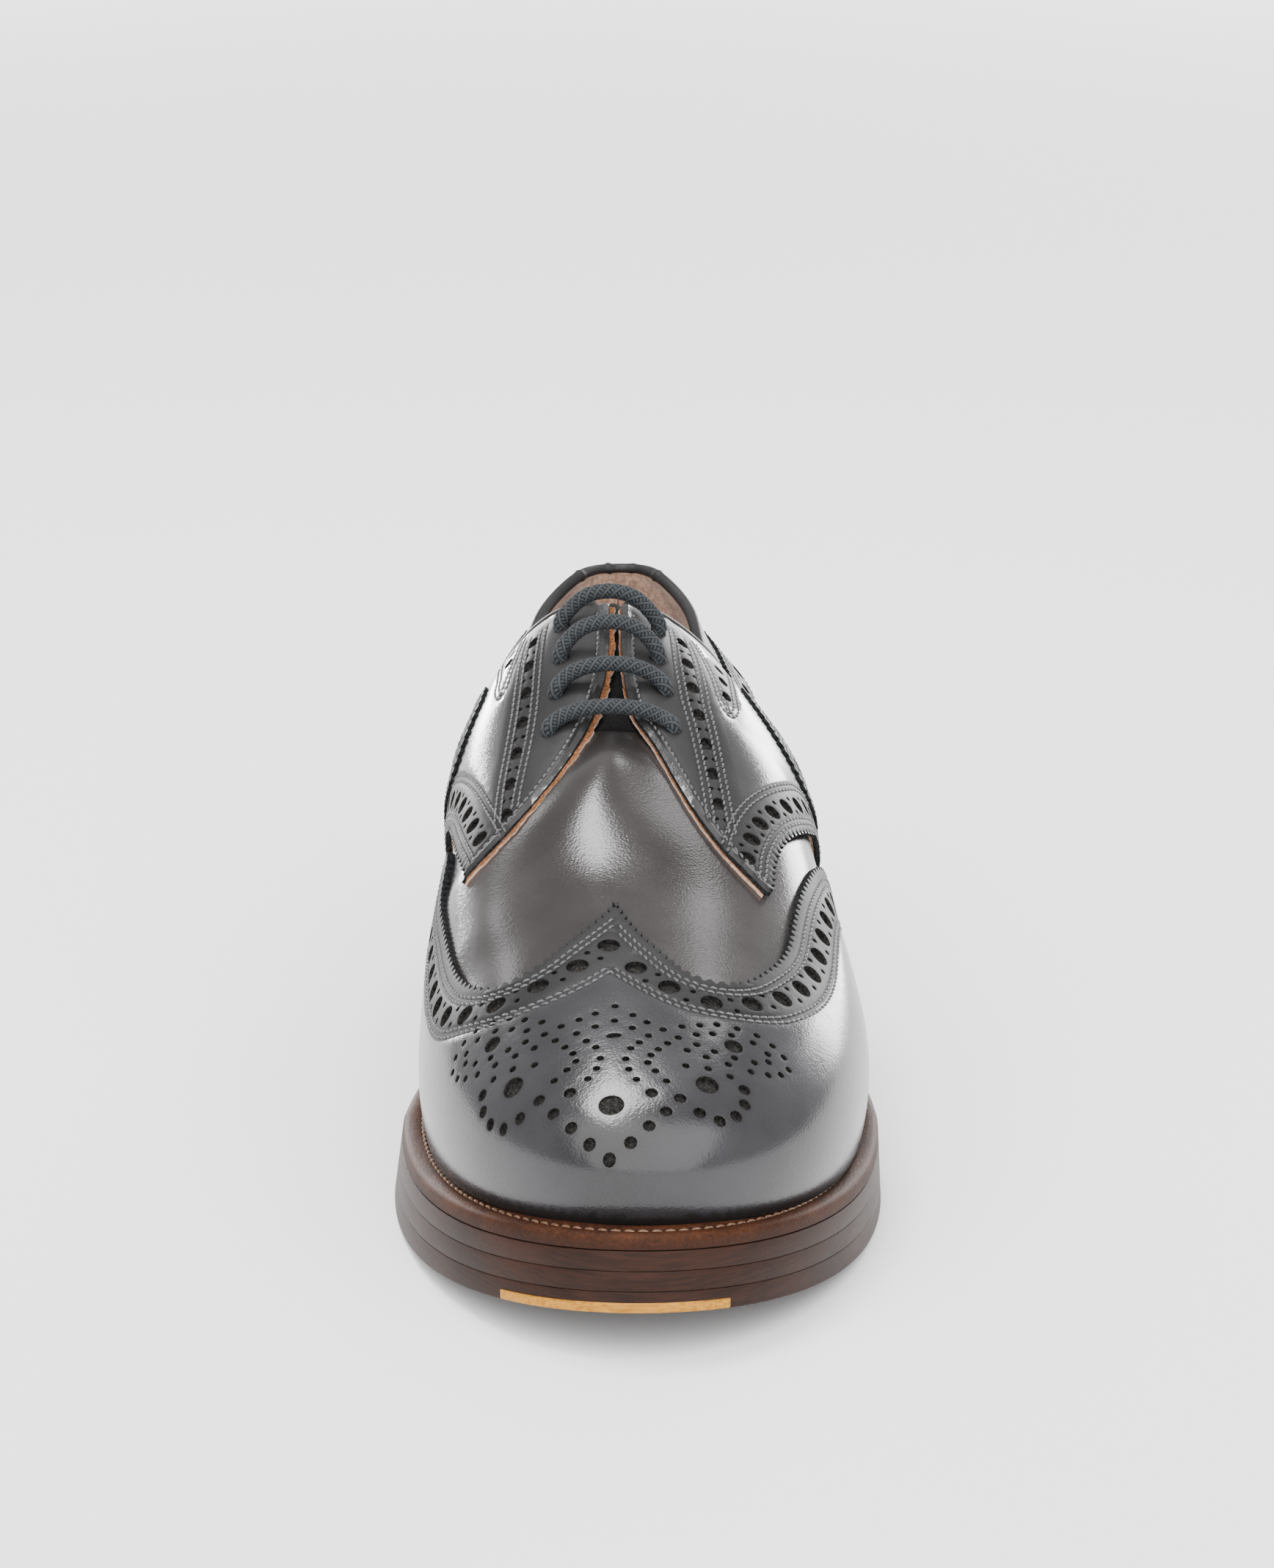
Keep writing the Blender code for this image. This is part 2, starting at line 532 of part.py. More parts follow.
def build_wing_cap():
    """W-shaped toe cap with its wings drawn back along both sides."""
    rows = np.linspace(0, 1, 12) ** 0.8
    grids = []
    for side, table in ((1.0, WING_LATERAL), (-1.0, WING_MEDIAL)):
        knots = np.array(table)
        length = ray_length(knots[:, 0], side)
        edge = flat_of(knots[:, 0], side, np.maximum(length - knots[:, 1], 0.0))
        edge[-1, 0] = 0.0
        turns = turn_at(knots[:, 2])
        run, walk = (np.concatenate([[0], np.cumsum(np.linalg.norm(np.diff(row, axis=0), axis=1))])
                     for row in (edge, equator(turns, side)))
        u = np.interp(np.linspace(0, run[-1] + walk[-1], 22), run + walk, run)
        upper_edge = np.stack([spline(list(zip(run, edge[:, k])))(u) for k in (0, 1)], -1)
        upper_edge[-1, 0] = 0.0
        feather_turn = np.interp(u, run, turns)
        feather = rays(feather_turn, side)
        foot = flat_of(station_at(feather_turn), side, arcs(feather)[:, -1] - WELT_CLEARANCE)
        foot[-1, 0] = 0.0
        grid = upper_edge[:, None] + (foot - upper_edge)[:, None] * rows[:, None]
        surface = flat_to_last(grid, side)
        if side > 0:
            first = surface
        else:
            shared = (first[-1] + surface[-1]) / 2
            first[-1] = surface[-1] = shared
            grids = [place(first), place(surface)]
    return lasted_solid("wing_cap", grids, "overlay", OVERLAY_GAP + 0.2, OVERLAY_THICKNESS, 1.0)


def build_quarter(name, side, facing, arch):
    """Quarter over the vamp: facing in front, collar on top, arched lower edge."""
    station = np.concatenate([station_at(REAR_TURNS[1:]), np.linspace(135.0, facing[-1][0], QUARTER_COLUMNS)])
    length = ray_length(station, side)
    collar = arc_at_height(station, side, COLLAR(np.minimum(station, SLOT_START)))
    top = np.where(station < SLOT_START, collar, line(facing)(station))
    low = np.where(station < arch[0][0], arch[0][1], line(arch)(station))
    foot = np.maximum(length - low, top + 0.2)
    rows = np.linspace(0, 1, 9)
    arc = top[:, None] + (foot - top)[:, None] * rows
    turn = np.broadcast_to(turn_at(station)[:, None], arc.shape)
    return lasted_solid(name, [place(along_ray(turn, side, arc))], "overlay",
                        OVERLAY_GAP, OVERLAY_THICKNESS, 1.0)


def build_counter():
    """Heel counter over both quarters, across the back seam, to a point behind each arch."""
    rows = np.linspace(0, 1, 6)
    grids = []
    for side, table in ((1.0, COUNTER_LATERAL), (-1.0, COUNTER_MEDIAL)):
        turn = np.append(REAR_TURNS[station_at(REAR_TURNS) < table[-1][0] - 2.0], turn_at(table[-1][0]))
        station = station_at(turn)
        low, high = (line([(row[0], row[k]) for row in table])(station) for k in (1, 2))
        arc = (ray_length(station, side) - high)[:, None] + (high - low)[:, None] * rows
        grids.append(place(along_ray(np.broadcast_to(turn[:, None], arc.shape), side, arc)))
    lift = 2 * OVERLAY_GAP + OVERLAY_THICKNESS + COUNTER_LIFT
    return lasted_solid("counter", grids, "overlay", lift, OVERLAY_THICKNESS, 1.0)


def build_tongue():
    """Sheet below the throat slot, clear of the upper's inner face."""
    station = np.linspace(TONGUE_START, TONGUE_END, 8)
    share = np.linspace(0, 1, 5)
    grids = []
    for side in (1.0, -1.0):
        arc = np.broadcast_to(TONGUE_HALF * share, (len(station), len(share)))
        turn = np.broadcast_to(turn_at(station)[:, None], arc.shape)
        grids.append(place(along_ray(turn, side, arc)))
    return lasted_solid("tongue", grids, "tongue", -(UPPER_WALL + TONGUE_GAP), TONGUE_THICKNESS, -1.0)


def eyelet_frames():
    """Centre and outward normal of each eyelet, in metres, by row and side."""
    frames = []
    for station, arc in EYELETS:
        row = {}
        for side in (1.0, -1.0):
            here, on, out = (Vector(place(along_ray(turn_at(np.array(s)), side, np.array(a))))
                             for s, a in ((station, arc), (station + 1.0, arc), (station, arc + 1.0)))
            normal = (on - here).cross(out - here).normalized()
            row[side] = (here, normal if normal.z > 0 else -normal)
        frames.append(row)
    return frames


def build_laces(frames):
    """Four straight bars, each an arched round between its two eyelets."""
    for number, row in enumerate(frames, 1):
        (start, start_up), (end, end_up) = row[1.0], row[-1.0]
        station = EYELETS[number - 1][0]
        top = Vector(place(along_ray(turn_at(np.array(station)), 1.0, np.array(0.0))))
        up = (start_up + end_up).normalized()
        inward = (end - start).normalized()
        mid = top + up * LACE_CROWN * MM
        path = [start - start_up * 0.5 * MM, start + start_up * 2.2 * MM,
                start + start_up * 4.3 * MM + inward * 1.0 * MM,
                (start + start_up * 4.9 * MM) * 0.55 + (mid + up * 0.2 * MM) * 0.45,
                mid,
                (end + end_up * 4.9 * MM) * 0.55 + (mid + up * 0.2 * MM) * 0.45,
                end + end_up * 4.3 * MM - inward * 1.0 * MM,
                end + end_up * 2.2 * MM, end - end_up * 0.5 * MM]
        curve = bpy.data.curves.new(f"lace_bar_{number}", "CURVE")
        curve.dimensions = "3D"
        curve.bevel_depth = LACE_RADIUS * MM
        curve.bevel_resolution = 1
        curve.resolution_u = 1
        curve.use_fill_caps = True
        bar = curve.splines.new("NURBS")
        bar.points.add(len(path) - 1)
        for point, co in zip(bar.points, path):
            point.co = (*co, 1.0)
        bar.use_endpoint_u = True
        bar.order_u = 3
        obj = bpy.data.objects.new(f"lace_bar_{number}", curve)
        bpy.context.scene.collection.objects.link(obj)
        mat = material("lace").copy()
        mat.name = f"lace_bar_{number}_lace"
        curve.materials.append(mat)


def build_eyelet_cutter(frames):
    bm = bmesh.new()
    for row in frames:
        for centre, up in row.values():
            turn = Vector((0, 0, 1)).rotation_difference(up).to_matrix().to_4x4()
            turn.translation = centre
            bmesh.ops.create_cone(bm, cap_ends=True, segments=12, radius1=EYELET_RADIUS * MM,
                                  radius2=EYELET_RADIUS * MM, depth=12 * MM, matrix=turn)
    return add_object("eyelet_cutter", bm, "brass")


def main():
    for obj in list(bpy.data.objects):
        bpy.data.objects.remove(obj, do_unlink=True)
    build_sole()
    build_insole()
    upper = build_upper()
    build_wing_cap()
    lateral = build_quarter("quarter_lateral", 1.0, FACING_LATERAL, ARCH_LATERAL)
    medial = build_quarter("quarter_medial", -1.0, FACING_MEDIAL, ARCH_MEDIAL)
    build_counter()
    build_tongue()
    frames = eyelet_frames()
    cutter = build_eyelet_cutter(frames)
    for obj in (upper, lateral, medial):
        cut_with(obj, cutter)
    build_laces(frames)


main()
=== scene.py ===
"""Full brogue derby, left shoe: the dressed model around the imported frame.

Lengths are millimetres in a shoemaker's frame: x across from the ridge line,
station from the back of the sole (0) to its toe (306), and height over the
floor.  The function place turns them into the frame's metres, toe to -Y.
"""
from __future__ import annotations

import json
import logging
import math
from dataclasses import dataclass, field, replace
from enum import Enum
from typing import Callable, Sequence

import bmesh
import bpy
import numpy as np
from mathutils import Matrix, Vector
from mathutils.geometry import delaunay_2d_cdt
from mathutils.kdtree import KDTree

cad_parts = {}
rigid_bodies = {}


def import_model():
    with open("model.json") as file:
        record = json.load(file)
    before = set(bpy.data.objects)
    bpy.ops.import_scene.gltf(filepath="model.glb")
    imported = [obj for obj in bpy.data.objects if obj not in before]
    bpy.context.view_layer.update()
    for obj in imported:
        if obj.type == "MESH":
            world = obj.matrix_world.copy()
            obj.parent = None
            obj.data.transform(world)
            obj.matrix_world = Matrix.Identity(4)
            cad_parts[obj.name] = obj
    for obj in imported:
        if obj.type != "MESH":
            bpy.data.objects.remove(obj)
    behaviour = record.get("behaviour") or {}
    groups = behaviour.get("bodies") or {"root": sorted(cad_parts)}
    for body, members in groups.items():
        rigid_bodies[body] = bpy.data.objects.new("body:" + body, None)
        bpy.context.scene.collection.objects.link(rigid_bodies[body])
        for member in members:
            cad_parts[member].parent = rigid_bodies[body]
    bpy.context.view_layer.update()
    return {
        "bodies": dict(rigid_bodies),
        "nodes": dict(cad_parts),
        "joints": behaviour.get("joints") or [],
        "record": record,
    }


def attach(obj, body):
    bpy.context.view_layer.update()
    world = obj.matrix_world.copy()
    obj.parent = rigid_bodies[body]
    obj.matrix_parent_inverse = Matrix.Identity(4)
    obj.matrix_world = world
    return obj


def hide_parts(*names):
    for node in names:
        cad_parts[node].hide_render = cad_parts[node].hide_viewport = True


LOG = logging.getLogger("brogue")
MM = 0.001
SOLE_LENGTH = 306.0
AXIS_SHIFT = -5.0
BACK_SEAM = 6.02
THREAD_SINK = 0.12

Array = np.ndarray


class Side(float, Enum):
    """Sides of the shoe, as the sign of x."""

    LATERAL = 1.0
    MEDIAL = -1.0


LATERAL, MEDIAL = Side.LATERAL, Side.MEDIAL


def place(points: Array) -> Array:
    """Turn a shoemaker's points into the frame's.

    Args:
        points: (..., 3) x, station and height in millimetres.

    Returns:
        (..., 3) points in metres.
    """
    x, station, height = np.moveaxis(np.asarray(points, float), -1, 0)
    return np.stack([x + AXIS_SHIFT, SOLE_LENGTH / 2 - station, height], -1) * MM


def spline(pairs: Sequence[tuple[float, float]]) -> Callable[[Array], Array]:
    """Natural cubic through (x, y) pairs.

    Args:
        pairs: Knots in rising x.

    Returns:
        A function of an array of x.
    """
    xs, ys = (np.array(column, float) for column in zip(*pairs))
    count = len(xs)
    step = np.diff(xs)
    matrix, right = np.eye(count), np.zeros(count)
    for i in range(1, count - 1):
        matrix[i, i - 1:i + 2] = step[i - 1], 2 * (step[i - 1] + step[i]), step[i]
        right[i] = 3 * ((ys[i + 1] - ys[i]) / step[i] - (ys[i] - ys[i - 1]) / step[i - 1])
    curve = np.linalg.solve(matrix, right)
    cubic = np.diff(curve) / (3 * step)
    slope = np.diff(ys) / step - step * (2 * curve[:-1] + curve[1:]) / 3

    def value(x: Array) -> Array:
        """Find the curve's height.

        Args:
            x: Where to read it.

        Returns:
            The height at each x.
        """
        x = np.asarray(x, float)
        i = np.clip(np.searchsorted(xs, x) - 1, 0, count - 2)
        t = x - xs[i]
        return ys[i] + t * (slope[i] + t * (curve[i] + t * cubic[i]))
    return value


def ease(t: Array) -> Array:
    """Smooth step from 0 to 1 with level ends."""
    t = np.clip(t, 0.0, 1.0)
    return t * t * t * (t * (6 * t - 15) + 10)


def running_length(points: Array) -> Array:
    """Distance along a polyline to each of its points."""
    return np.concatenate([[0.0], np.cumsum(np.linalg.norm(np.diff(points, axis=0), axis=1))])


def unit(vectors: Array) -> Array:
    """Vectors brought to length 1."""
    return vectors / np.maximum(np.linalg.norm(vectors, axis=-1, keepdims=True), 1e-12)


def raised(plan: Array, height: float | Array) -> Array:
    """Points of a plane with a height as their third coordinate."""
    return np.concatenate([plan, np.broadcast_to(height, plan.shape[:-1])[..., None]], -1)


def through(knots: Array, at: Array) -> Array:
    """Smooth curve through knots.

    Args:
        knots: (K, D) points.
        at: Distances along the knots' polyline.

    Returns:
        (N, D) points.
    """
    run = running_length(knots)
    return np.stack([spline(list(zip(run, column)))(at) for column in knots.T], -1)


def end_round(station: Array, heel: float, heel_round: float, toe_round: float, toe: float) -> Array:
    """Share of the full width that the oval ends leave.

    Args:
        station: Stations along the plan.
        heel, heel_round: Stations where the back's rounding ends and starts.
        toe_round, toe: Stations where the toe's rounding starts and ends.

    Returns:
        A share for each station.
    """
    ahead = np.clip((station - toe_round) / (toe - toe_round), 0, 1)
    behind = np.clip((heel_round - station) / (heel_round - heel), 0, 1)
    return np.sqrt(np.clip((1 - ahead ** 2) * (1 - behind ** 2), 0, 1))


@dataclass
class SoleLine:
    """The sole's plan and the curve of its top face.

    Heel seat, waist ramp, level forefoot and toe spring, as in the solids.
    """

    forefoot: float = 18.0
    pitch: float = 22.0
    ramp_start: float = 45.0
    ramp_run: float = 155.0
    spring: float = 9.0
    spring_start: float = 208.0
    spring_end: float = 298.5
    depth: float = 18.0
    flare: tuple[float, float] = (2.4, 0.9)
    flare_run: float = 70.0
    breast: float = 76.0
    toe_round: float = 205.0
    heel_round: float = 36.0
    outline: tuple = (
        (36.0, 33.0, 36.0), (60.0, 32.5, 35.5), (80.0, 31.5, 36.0), (100.0, 31.5, 38.0),
        (130.0, 35.0, 45.0), (160.0, 41.5, 53.0), (190.0, 48.6, 59.4), (205.0, 50.6, 60.6))

    def height(self, station: Array) -> Array:
        """Height of the sole's top face.

        Args:
            station: Stations along the sole.

        Returns:
            Heights over the floor.
        """
        ramp = 1 - ease((station - self.ramp_start) / self.ramp_run)
        ahead = (station - self.spring_start) / (self.spring_end - self.spring_start)
        return self.forefoot + self.pitch * ramp + self.spring * np.clip(ahead, 0.0, None) ** 2

    def rim(self, turns: Array, inset: float = 0.0, drop: float = 0.0) -> Array:
        """Closed plan outline.

        Args:
            turns: Parameter round the sole, 0 and 1 at the back, 0.5 at the toe.
            inset: Distance that the outline is drawn in.
            drop: Depth under the sole's top; the edge flares out towards the ground.

        Returns:
            (N, 2) array of x and station.
        """
        side = np.where(turns <= 0.5, LATERAL, MEDIAL)
        half_turn = np.where(turns <= 0.5, turns * 2, 2 - turns * 2)
        station = SOLE_LENGTH * (1 - np.cos(np.pi * half_turn)) / 2
        body = np.clip(station, self.heel_round, self.toe_round)
        drawn = ease((station - self.breast) / self.flare_run) * (1 - drop / self.depth)
        medial, lateral = (spline([(row[0], row[k]) for row in self.outline])(body)
                           - drawn * self.flare[k - 1] for k in (1, 2))
        ends = end_round(station, 0.0, self.heel_round, self.toe_round, SOLE_LENGTH)
        points = np.stack([(lateral - medial) / 2 + side * (lateral + medial) / 2 * ends, station], -1)
        if inset:
            along = unit(np.roll(points, -1, 0) - np.roll(points, 1, 0))
            points = points + np.stack([-along[:, 1], along[:, 0]], -1) * inset
        return points


@dataclass
class Last:
    """The upper's outer face as one function, sampled on a dense grid per side.

    A ray runs from the ridge over the fullest line (equator) to the feather
    edge on the welt.  Its turn goes from the back seam (0) to the toe (1).
    """

    sole: SoleLine = field(default_factory=SoleLine)
    heel: float = 6.0
    toe: float = 298.5
    toe_round: float = 205.0
    heel_round: float = 39.0
    toe_drop: float = 222.0
    toe_drop_power: float = 2.6
    toe_foot: float = 250.0
    softening: float = 0.4
    back_lean: float = 4.5
    back_lean_start: float = 62.0
    back_lean_span: float = 34.0
    back_lean_end: float = 60.0
    heart: tuple = (3.0, 150.0, 30.0)
    turns: int = 720
    rows: int = 170
    # station, centre, half width, equator, ridge, fullness lateral, fullness medial, inset
    sections: tuple = (
        (0.0, 1.5, 32.0, 22.0, 105.0, 1.25, 1.25, 3.0),
        (30.0, 1.5, 32.5, 22.0, 105.0, 1.25, 1.25, 3.0),
        (60.0, 1.5, 33.0, 23.0, 106.5, 1.18, 1.30, 4.0),
        (80.0, 1.8, 34.5, 25.0, 110.0, 1.16, 1.38, 6.0),
        (100.0, 2.2, 37.5, 27.0, 112.5, 1.20, 1.60, 7.5),
        (120.0, 2.8, 41.0, 29.0, 108.0, 1.47, 2.00, 7.5),
        (150.0, 4.4, 43.6, 28.0, 96.0, 2.12, 2.26, 6.0),
        (180.0, 4.9, 46.9, 22.0, 84.0, 2.25, 2.25, 3.5),
        (205.0, 6.2, 49.0, 15.0, 75.2, 2.15, 2.15, 2.0),
        (230.0, 6.3, 49.4, 12.0, 68.0, 2.15, 2.15, 1.5),
        (260.0, 6.3, 50.0, 11.0, 62.5, 2.20, 2.20, 1.5),
        (298.5, 6.0, 51.0, 11.0, 59.0, 2.20, 2.20, 1.5),
    )

    # share of the width that the collar is drawn in by: station, lateral, medial
    waist: tuple = ((0.0, 0.168, 0.09), (60.0, 0.168, 0.09), (80.0, 0.12, 0.06),
                    (100.0, 0.055, 0.025), (118.0, 0.0, 0.0))
    waist_height: float = 81.5
    waist_span: float = 10.0

    def __post_init__(self) -> None:
        """Sample both sides: points, normals, ray lengths and the equator's run."""
        (self.centre, self.half, self.equator, self.ridge, self.full_lateral, self.full_medial,
         self.inset) = (spline([(row[0], row[k]) for row in self.sections]) for k in range(1, 8))
        self.turn_grid = np.linspace(0, 1, self.turns)
        self.points, self.normals, self.lengths, self.walks = {}, {}, {}, {}
        for side in Side:
            self._sample(side)

    def _ends(self, station: Array) -> Array:
        """Oval ends of the last's plan."""
        return end_round(station, self.heel, self.heel_round, self.toe_round, self.toe)

    def ridge_x(self, station: Array) -> Array:
        """Sideways place of the ridge: straight, then out to the toe's tip."""
        return self.centre(station) * (1 - self._ends(station))

    def reach(self, station: Array, side: Side) -> Array:
        """Distance from the ridge to the equator in plan."""
        return self._ends(station) * (self.half(station) + side * self.centre(station))

    def station_at(self, turn: Array) -> Array:
        """Equator station of a ray's turn."""
        return self.heel + (self.toe - self.heel) * (1 - np.cos(np.pi * turn)) / 2

    def turn_at(self, station: Array) -> Array:
        """Turn of the ray that ends at an equator station."""
        share = 1 - 2 * (np.asarray(station, float) - self.heel) / (self.toe - self.heel)
        return np.arccos(np.clip(share, -1, 1)) / np.pi

    def rim(self, turn: Array, side: Side) -> Array:
        """Plan of the equator."""
        station = self.station_at(turn)
        return np.stack([self.ridge_x(station) + side * self.reach(station, side), station], -1)

    def _surface(self, turn: Array, side: Side, down: Array) -> Array:
        """Exact points of the face.

        Args:
            turn: Turn of each ray.
            side: Side of the shoe.
            down: Place on each ray, from the ridge (0) to the equator (1) and the feather (2).

        Returns:
            (..., 3) points.
        """
        rim = self.rim(turn, side)
        foot_station = np.minimum(rim[..., 1], self.toe_foot)
        foot = np.stack([self.ridge_x(foot_station), foot_station], -1)
        out = np.sin(np.clip(down, 0, 1) * math.pi / 2)
        plan = foot + out[..., None] * (rim - foot)
        station = plan[..., 1]
        off_ridge = plan[..., 0] - self.ridge_x(station)
        across = np.abs(off_ridge) / np.maximum(self.reach(station, side), 1e-9)
        across = np.where(rim[..., 1] <= self.toe_foot, out, np.clip(across, 0, 1))
        full = self.full_lateral(station) if side > 0 else self.full_medial(station)
        soft = self.softening * np.clip(2.0 - full, 0, None)
        rise = (1 - across ** full) ** (1 / full) * (np.sqrt(1 + soft ** 2) - soft)
        tip = np.clip((station - self.toe_drop) / (self.toe - self.toe_drop), 0, 1)
        seat, belly = self.sole.height(station), self.equator(station)
        crown = (self.ridge(station) - seat - belly) * np.sqrt(
            np.clip(1 - tip ** self.toe_drop_power, 0, 1))
        height = seat + belly + crown * np.sqrt(rise ** 2 + 2 * rise * soft)
        lean = self.back_lean * np.clip(
            (height - self.back_lean_start) / self.back_lean_span, 0, None) ** 1.5
        waist = np.array(self.waist)
        drawn = np.interp(station, waist[:, 0], waist[:, 1 if side > 0 else 2])
        drawn = 1 - drawn * np.exp(-((height - self.waist_height) / self.waist_span) ** 2)
        x = self.ridge_x(station) + off_ridge * drawn
        dome = np.stack([x, station + lean * (1 - ease(station / self.back_lean_end)), height], -1)
        below = np.clip(down - 1, 0, 1)
        near = 1e-4
        along = self.rim(np.clip(turn + near, 0, 1), side) - self.rim(np.clip(turn - near, 0, 1), side)
        end = (turn < 2 * near) | (turn > 1 - 2 * near)
        along[..., 0] = np.where(end, np.where(turn < 0.5, side, -side), along[..., 0])
        along[..., 1] = np.where(end, 0, along[..., 1])
        along = unit(along)
        inward = np.stack([-side * along[..., 1], side * along[..., 0]], -1)
        low = rim + inward * (self.inset(rim[..., 1]) * below ** 2)[..., None]
        drop = self.sole.height(rim[..., 1]) + self.equator(rim[..., 1]) * (1 - below)
        return np.where((down > 1)[..., None], raised(low, drop), dome)

    def _sample(self, side: Side) -> None:
        """Lay the even-arc grid of one side.

        Args:
            side: Side of the shoe.
        """
        raw = np.linspace(0, 2, 400)
        turn = np.broadcast_to(self.turn_grid[:, None], (self.turns, len(raw)))
        profile = self._surface(turn, side, np.broadcast_to(raw, turn.shape))
        run = np.concatenate([np.zeros((self.turns, 1)), np.cumsum(
            np.linalg.norm(np.diff(profile, axis=1), axis=2), 1)], 1)
        share = np.linspace(0, 1, self.rows)
        down = np.stack([np.interp(share * r[-1], r, raw) for r in run])
        even = np.broadcast_to(self.turn_grid[:, None], down.shape)
        points = self._surface(even, side, down)
        normal = unit(np.cross(np.gradient(points, axis=0), np.gradient(points, axis=1)) * side)
        normal[:, 0] = normal[:, 2]
        normal[:, 1] = normal[:, 2]
        normal[:, 0, 0] = 0.0
        normal[0] = normal[1] * np.array([0.0, 1.0, 1.0])
        normal[-1] = normal[-2] * np.array([0.0, 1.0, 1.0])
        outward = np.sign((normal * (points - np.array(self.heart))).sum(-1).mean())
        self.points[side] = points
        self.normals[side] = unit(normal * outward)
        self.lengths[side] = run[:, -1]
        self.walks[side] = running_length(self.rim(self.turn_grid, side))

    def length(self, turn: Array, side: Side) -> Array:
        """Arc of a ray from ridge to feather."""
        return np.interp(turn, self.turn_grid, self.lengths[side])

    def walk(self, station: Array, side: Side) -> Array:
        """Run along the equator from the back seam to a station."""
        return np.interp(self.turn_at(station), self.turn_grid, self.walks[side])

    def at(self, turn: Array, side: Side, arc: Array) -> tuple[Array, Array]:
        """Point and unit normal at an arc from the ridge along a ray.

        Args:
            turn: Turn of each ray.
            side: Side of the shoe.
            arc: Distance down each ray; past its ends it runs on straight.

        Returns:
            Points and normals, each (N, 3).
        """
        u = np.clip(turn, 0, 1) * (self.turns - 1)
        length = self.length(turn, side)
        v_free = arc / length * (self.rows - 1)
        v = np.clip(v_free, 0, self.rows - 1)
        i = np.clip(u.astype(int), 0, self.turns - 2)
        j = np.clip(v.astype(int), 0, self.rows - 2)
        fu, fv = (u - i)[:, None], (v - j)[:, None]
        grids = []
        for grid in (self.points[side], self.normals[side]):
            near = grid[i, j] * (1 - fv) + grid[i, j + 1] * fv
            far = grid[i + 1, j] * (1 - fv) + grid[i + 1, j + 1] * fv
            grids.append(near * (1 - fu) + far * fu)
        points, normals = grids
        step = self.points[side][i, j + 1] - self.points[side][i, j]
        return points + step * (v_free - v)[:, None], unit(normals)


class Pattern:
    """Flat pattern coordinates laid on the last."""

    def __init__(self, last: Last) -> None:
        """Keep the last that the pattern is drawn over."""
        self.last = last

    def rays(self, flat: Array) -> tuple[Array, Array, Array]:
        """Find the rays of flat points.

        Args:
            flat: (N, 2) flat points.

        Returns:
            Side, turn and arc of each point.
        """
        raise NotImplementedError

    def on_last(self, flat: Array) -> tuple[Array, Array]:
        """Lay flat points on the last.

        Args:
            flat: (N, 2) flat points.

        Returns:
            Points and unit normals, each (N, 3).
        """
        flat = np.atleast_2d(np.asarray(flat, float))
        side, turn, arc = self.rays(flat)
        points, normals = np.zeros((len(flat), 3)), np.zeros((len(flat), 3))
        for hand in Side:
            mask = side == hand
            if mask.any():
                points[mask], normals[mask] = self.last.at(turn[mask], hand, arc[mask])
        return points, normals

    def stretch(self, flat: Array, step: float = 0.4) -> Array:
        """Flat moves that make a true millimetre along two square directions.

        Args:
            flat: (N, 2) flat points.
            step: Half width of the finite difference.

        Returns:
            (N, 2, 2): for each point, columns map true (first, second)
            millimetres to flat ones, the first along the first flat axis.
        """
        flat = np.atleast_2d(np.asarray(flat, float))
        ends = [self.on_last(flat + move)[0] for move in
                ((step, 0), (-step, 0), (0, step), (0, -step))]
        du, dv = (ends[0] - ends[1]) / (2 * step), (ends[2] - ends[3]) / (2 * step)
        a, b, c = (du * du).sum(1), (du * dv).sum(1), (dv * dv).sum(1)
        root = np.sqrt(np.maximum(a, 1e-9))
        low = np.sqrt(np.maximum(c - b * b / np.maximum(a, 1e-9), 1e-6))
        moves = np.zeros((len(flat), 2, 2))
        moves[:, 0, 0] = 1 / root
        moves[:, 0, 1] = -b / np.maximum(a, 1e-9) / low
        moves[:, 1, 1] = 1 / low
        return moves

    def offset(self, line: Array, distance: float | Array) -> Array:
        """Move a flat line sideways.

        Args:
            line: (N, 2) flat line.
            distance: True distance, to the line's left when positive.

        Returns:
            The moved line.
        """
        moves = self.stretch(line)
        true = unit(np.einsum("nij,nj->ni", np.linalg.inv(moves), np.gradient(line, axis=0)))
        left = np.stack([-true[:, 1], true[:, 0]], -1) * np.broadcast_to(distance, len(line))[:, None]
        return line + np.einsum("nij,nj->ni", moves, left)

    def inset(self, line: Array, distance: float, share: float = 0.93) -> Array:
        """Move a flat line sideways without the loop that a tight bend folds into it.

        Args:
            line: (N, 2) flat line.
            distance: True distance, to the line's left when positive.
            share: Least share of the distance that a kept point is away from the line.

        Returns:
            The moved line.
        """
        row = self.offset(line, distance)
        near = nearest(self.on_last(row)[0], self.on_last(line)[0])
        return row[near > share * abs(distance)]

    def resample(self, line: Array, pitch: float, closed: bool = False) -> Array:
        """Set a flat line's points at an even true pitch.

        Args:
            line: (N, 2) flat line.
            pitch: True distance between points.
            closed: Whether the line runs on to its start.

        Returns:
            The even line.
        """
        line = np.asarray(line, float)
        if closed:
            line = np.concatenate([line, line[:1]])
        fine = [[np.linspace(a, b, 12, endpoint=False) for a, b in zip(column[:-1], column[1:])]
                for column in line.T]
        fine = np.concatenate([np.stack([np.ravel(column) for column in fine], -1), line[-1:]])
        run = running_length(self.on_last(fine)[0])
        at = np.linspace(0, run[-1], max(2, int(round(run[-1] / pitch))) + 1)
        even = np.stack([np.interp(at, run, column) for column in fine.T], -1)
        return even[:-1] if closed else even

    def curve(self, knots: Array, pitch: float = 1.0) -> Array:
        """Draw a smooth flat curve.

        Args:
            knots: (K, 2) flat points on the curve.
            pitch: True distance between its points.

        Returns:
            The curve.
        """
        knots = np.asarray(knots, float)
        length = running_length(knots)[-1]
        fine = np.linspace(0, length, max(8, int(length / pitch * 2)))
        return self.resample(through(knots, fine), pitch)


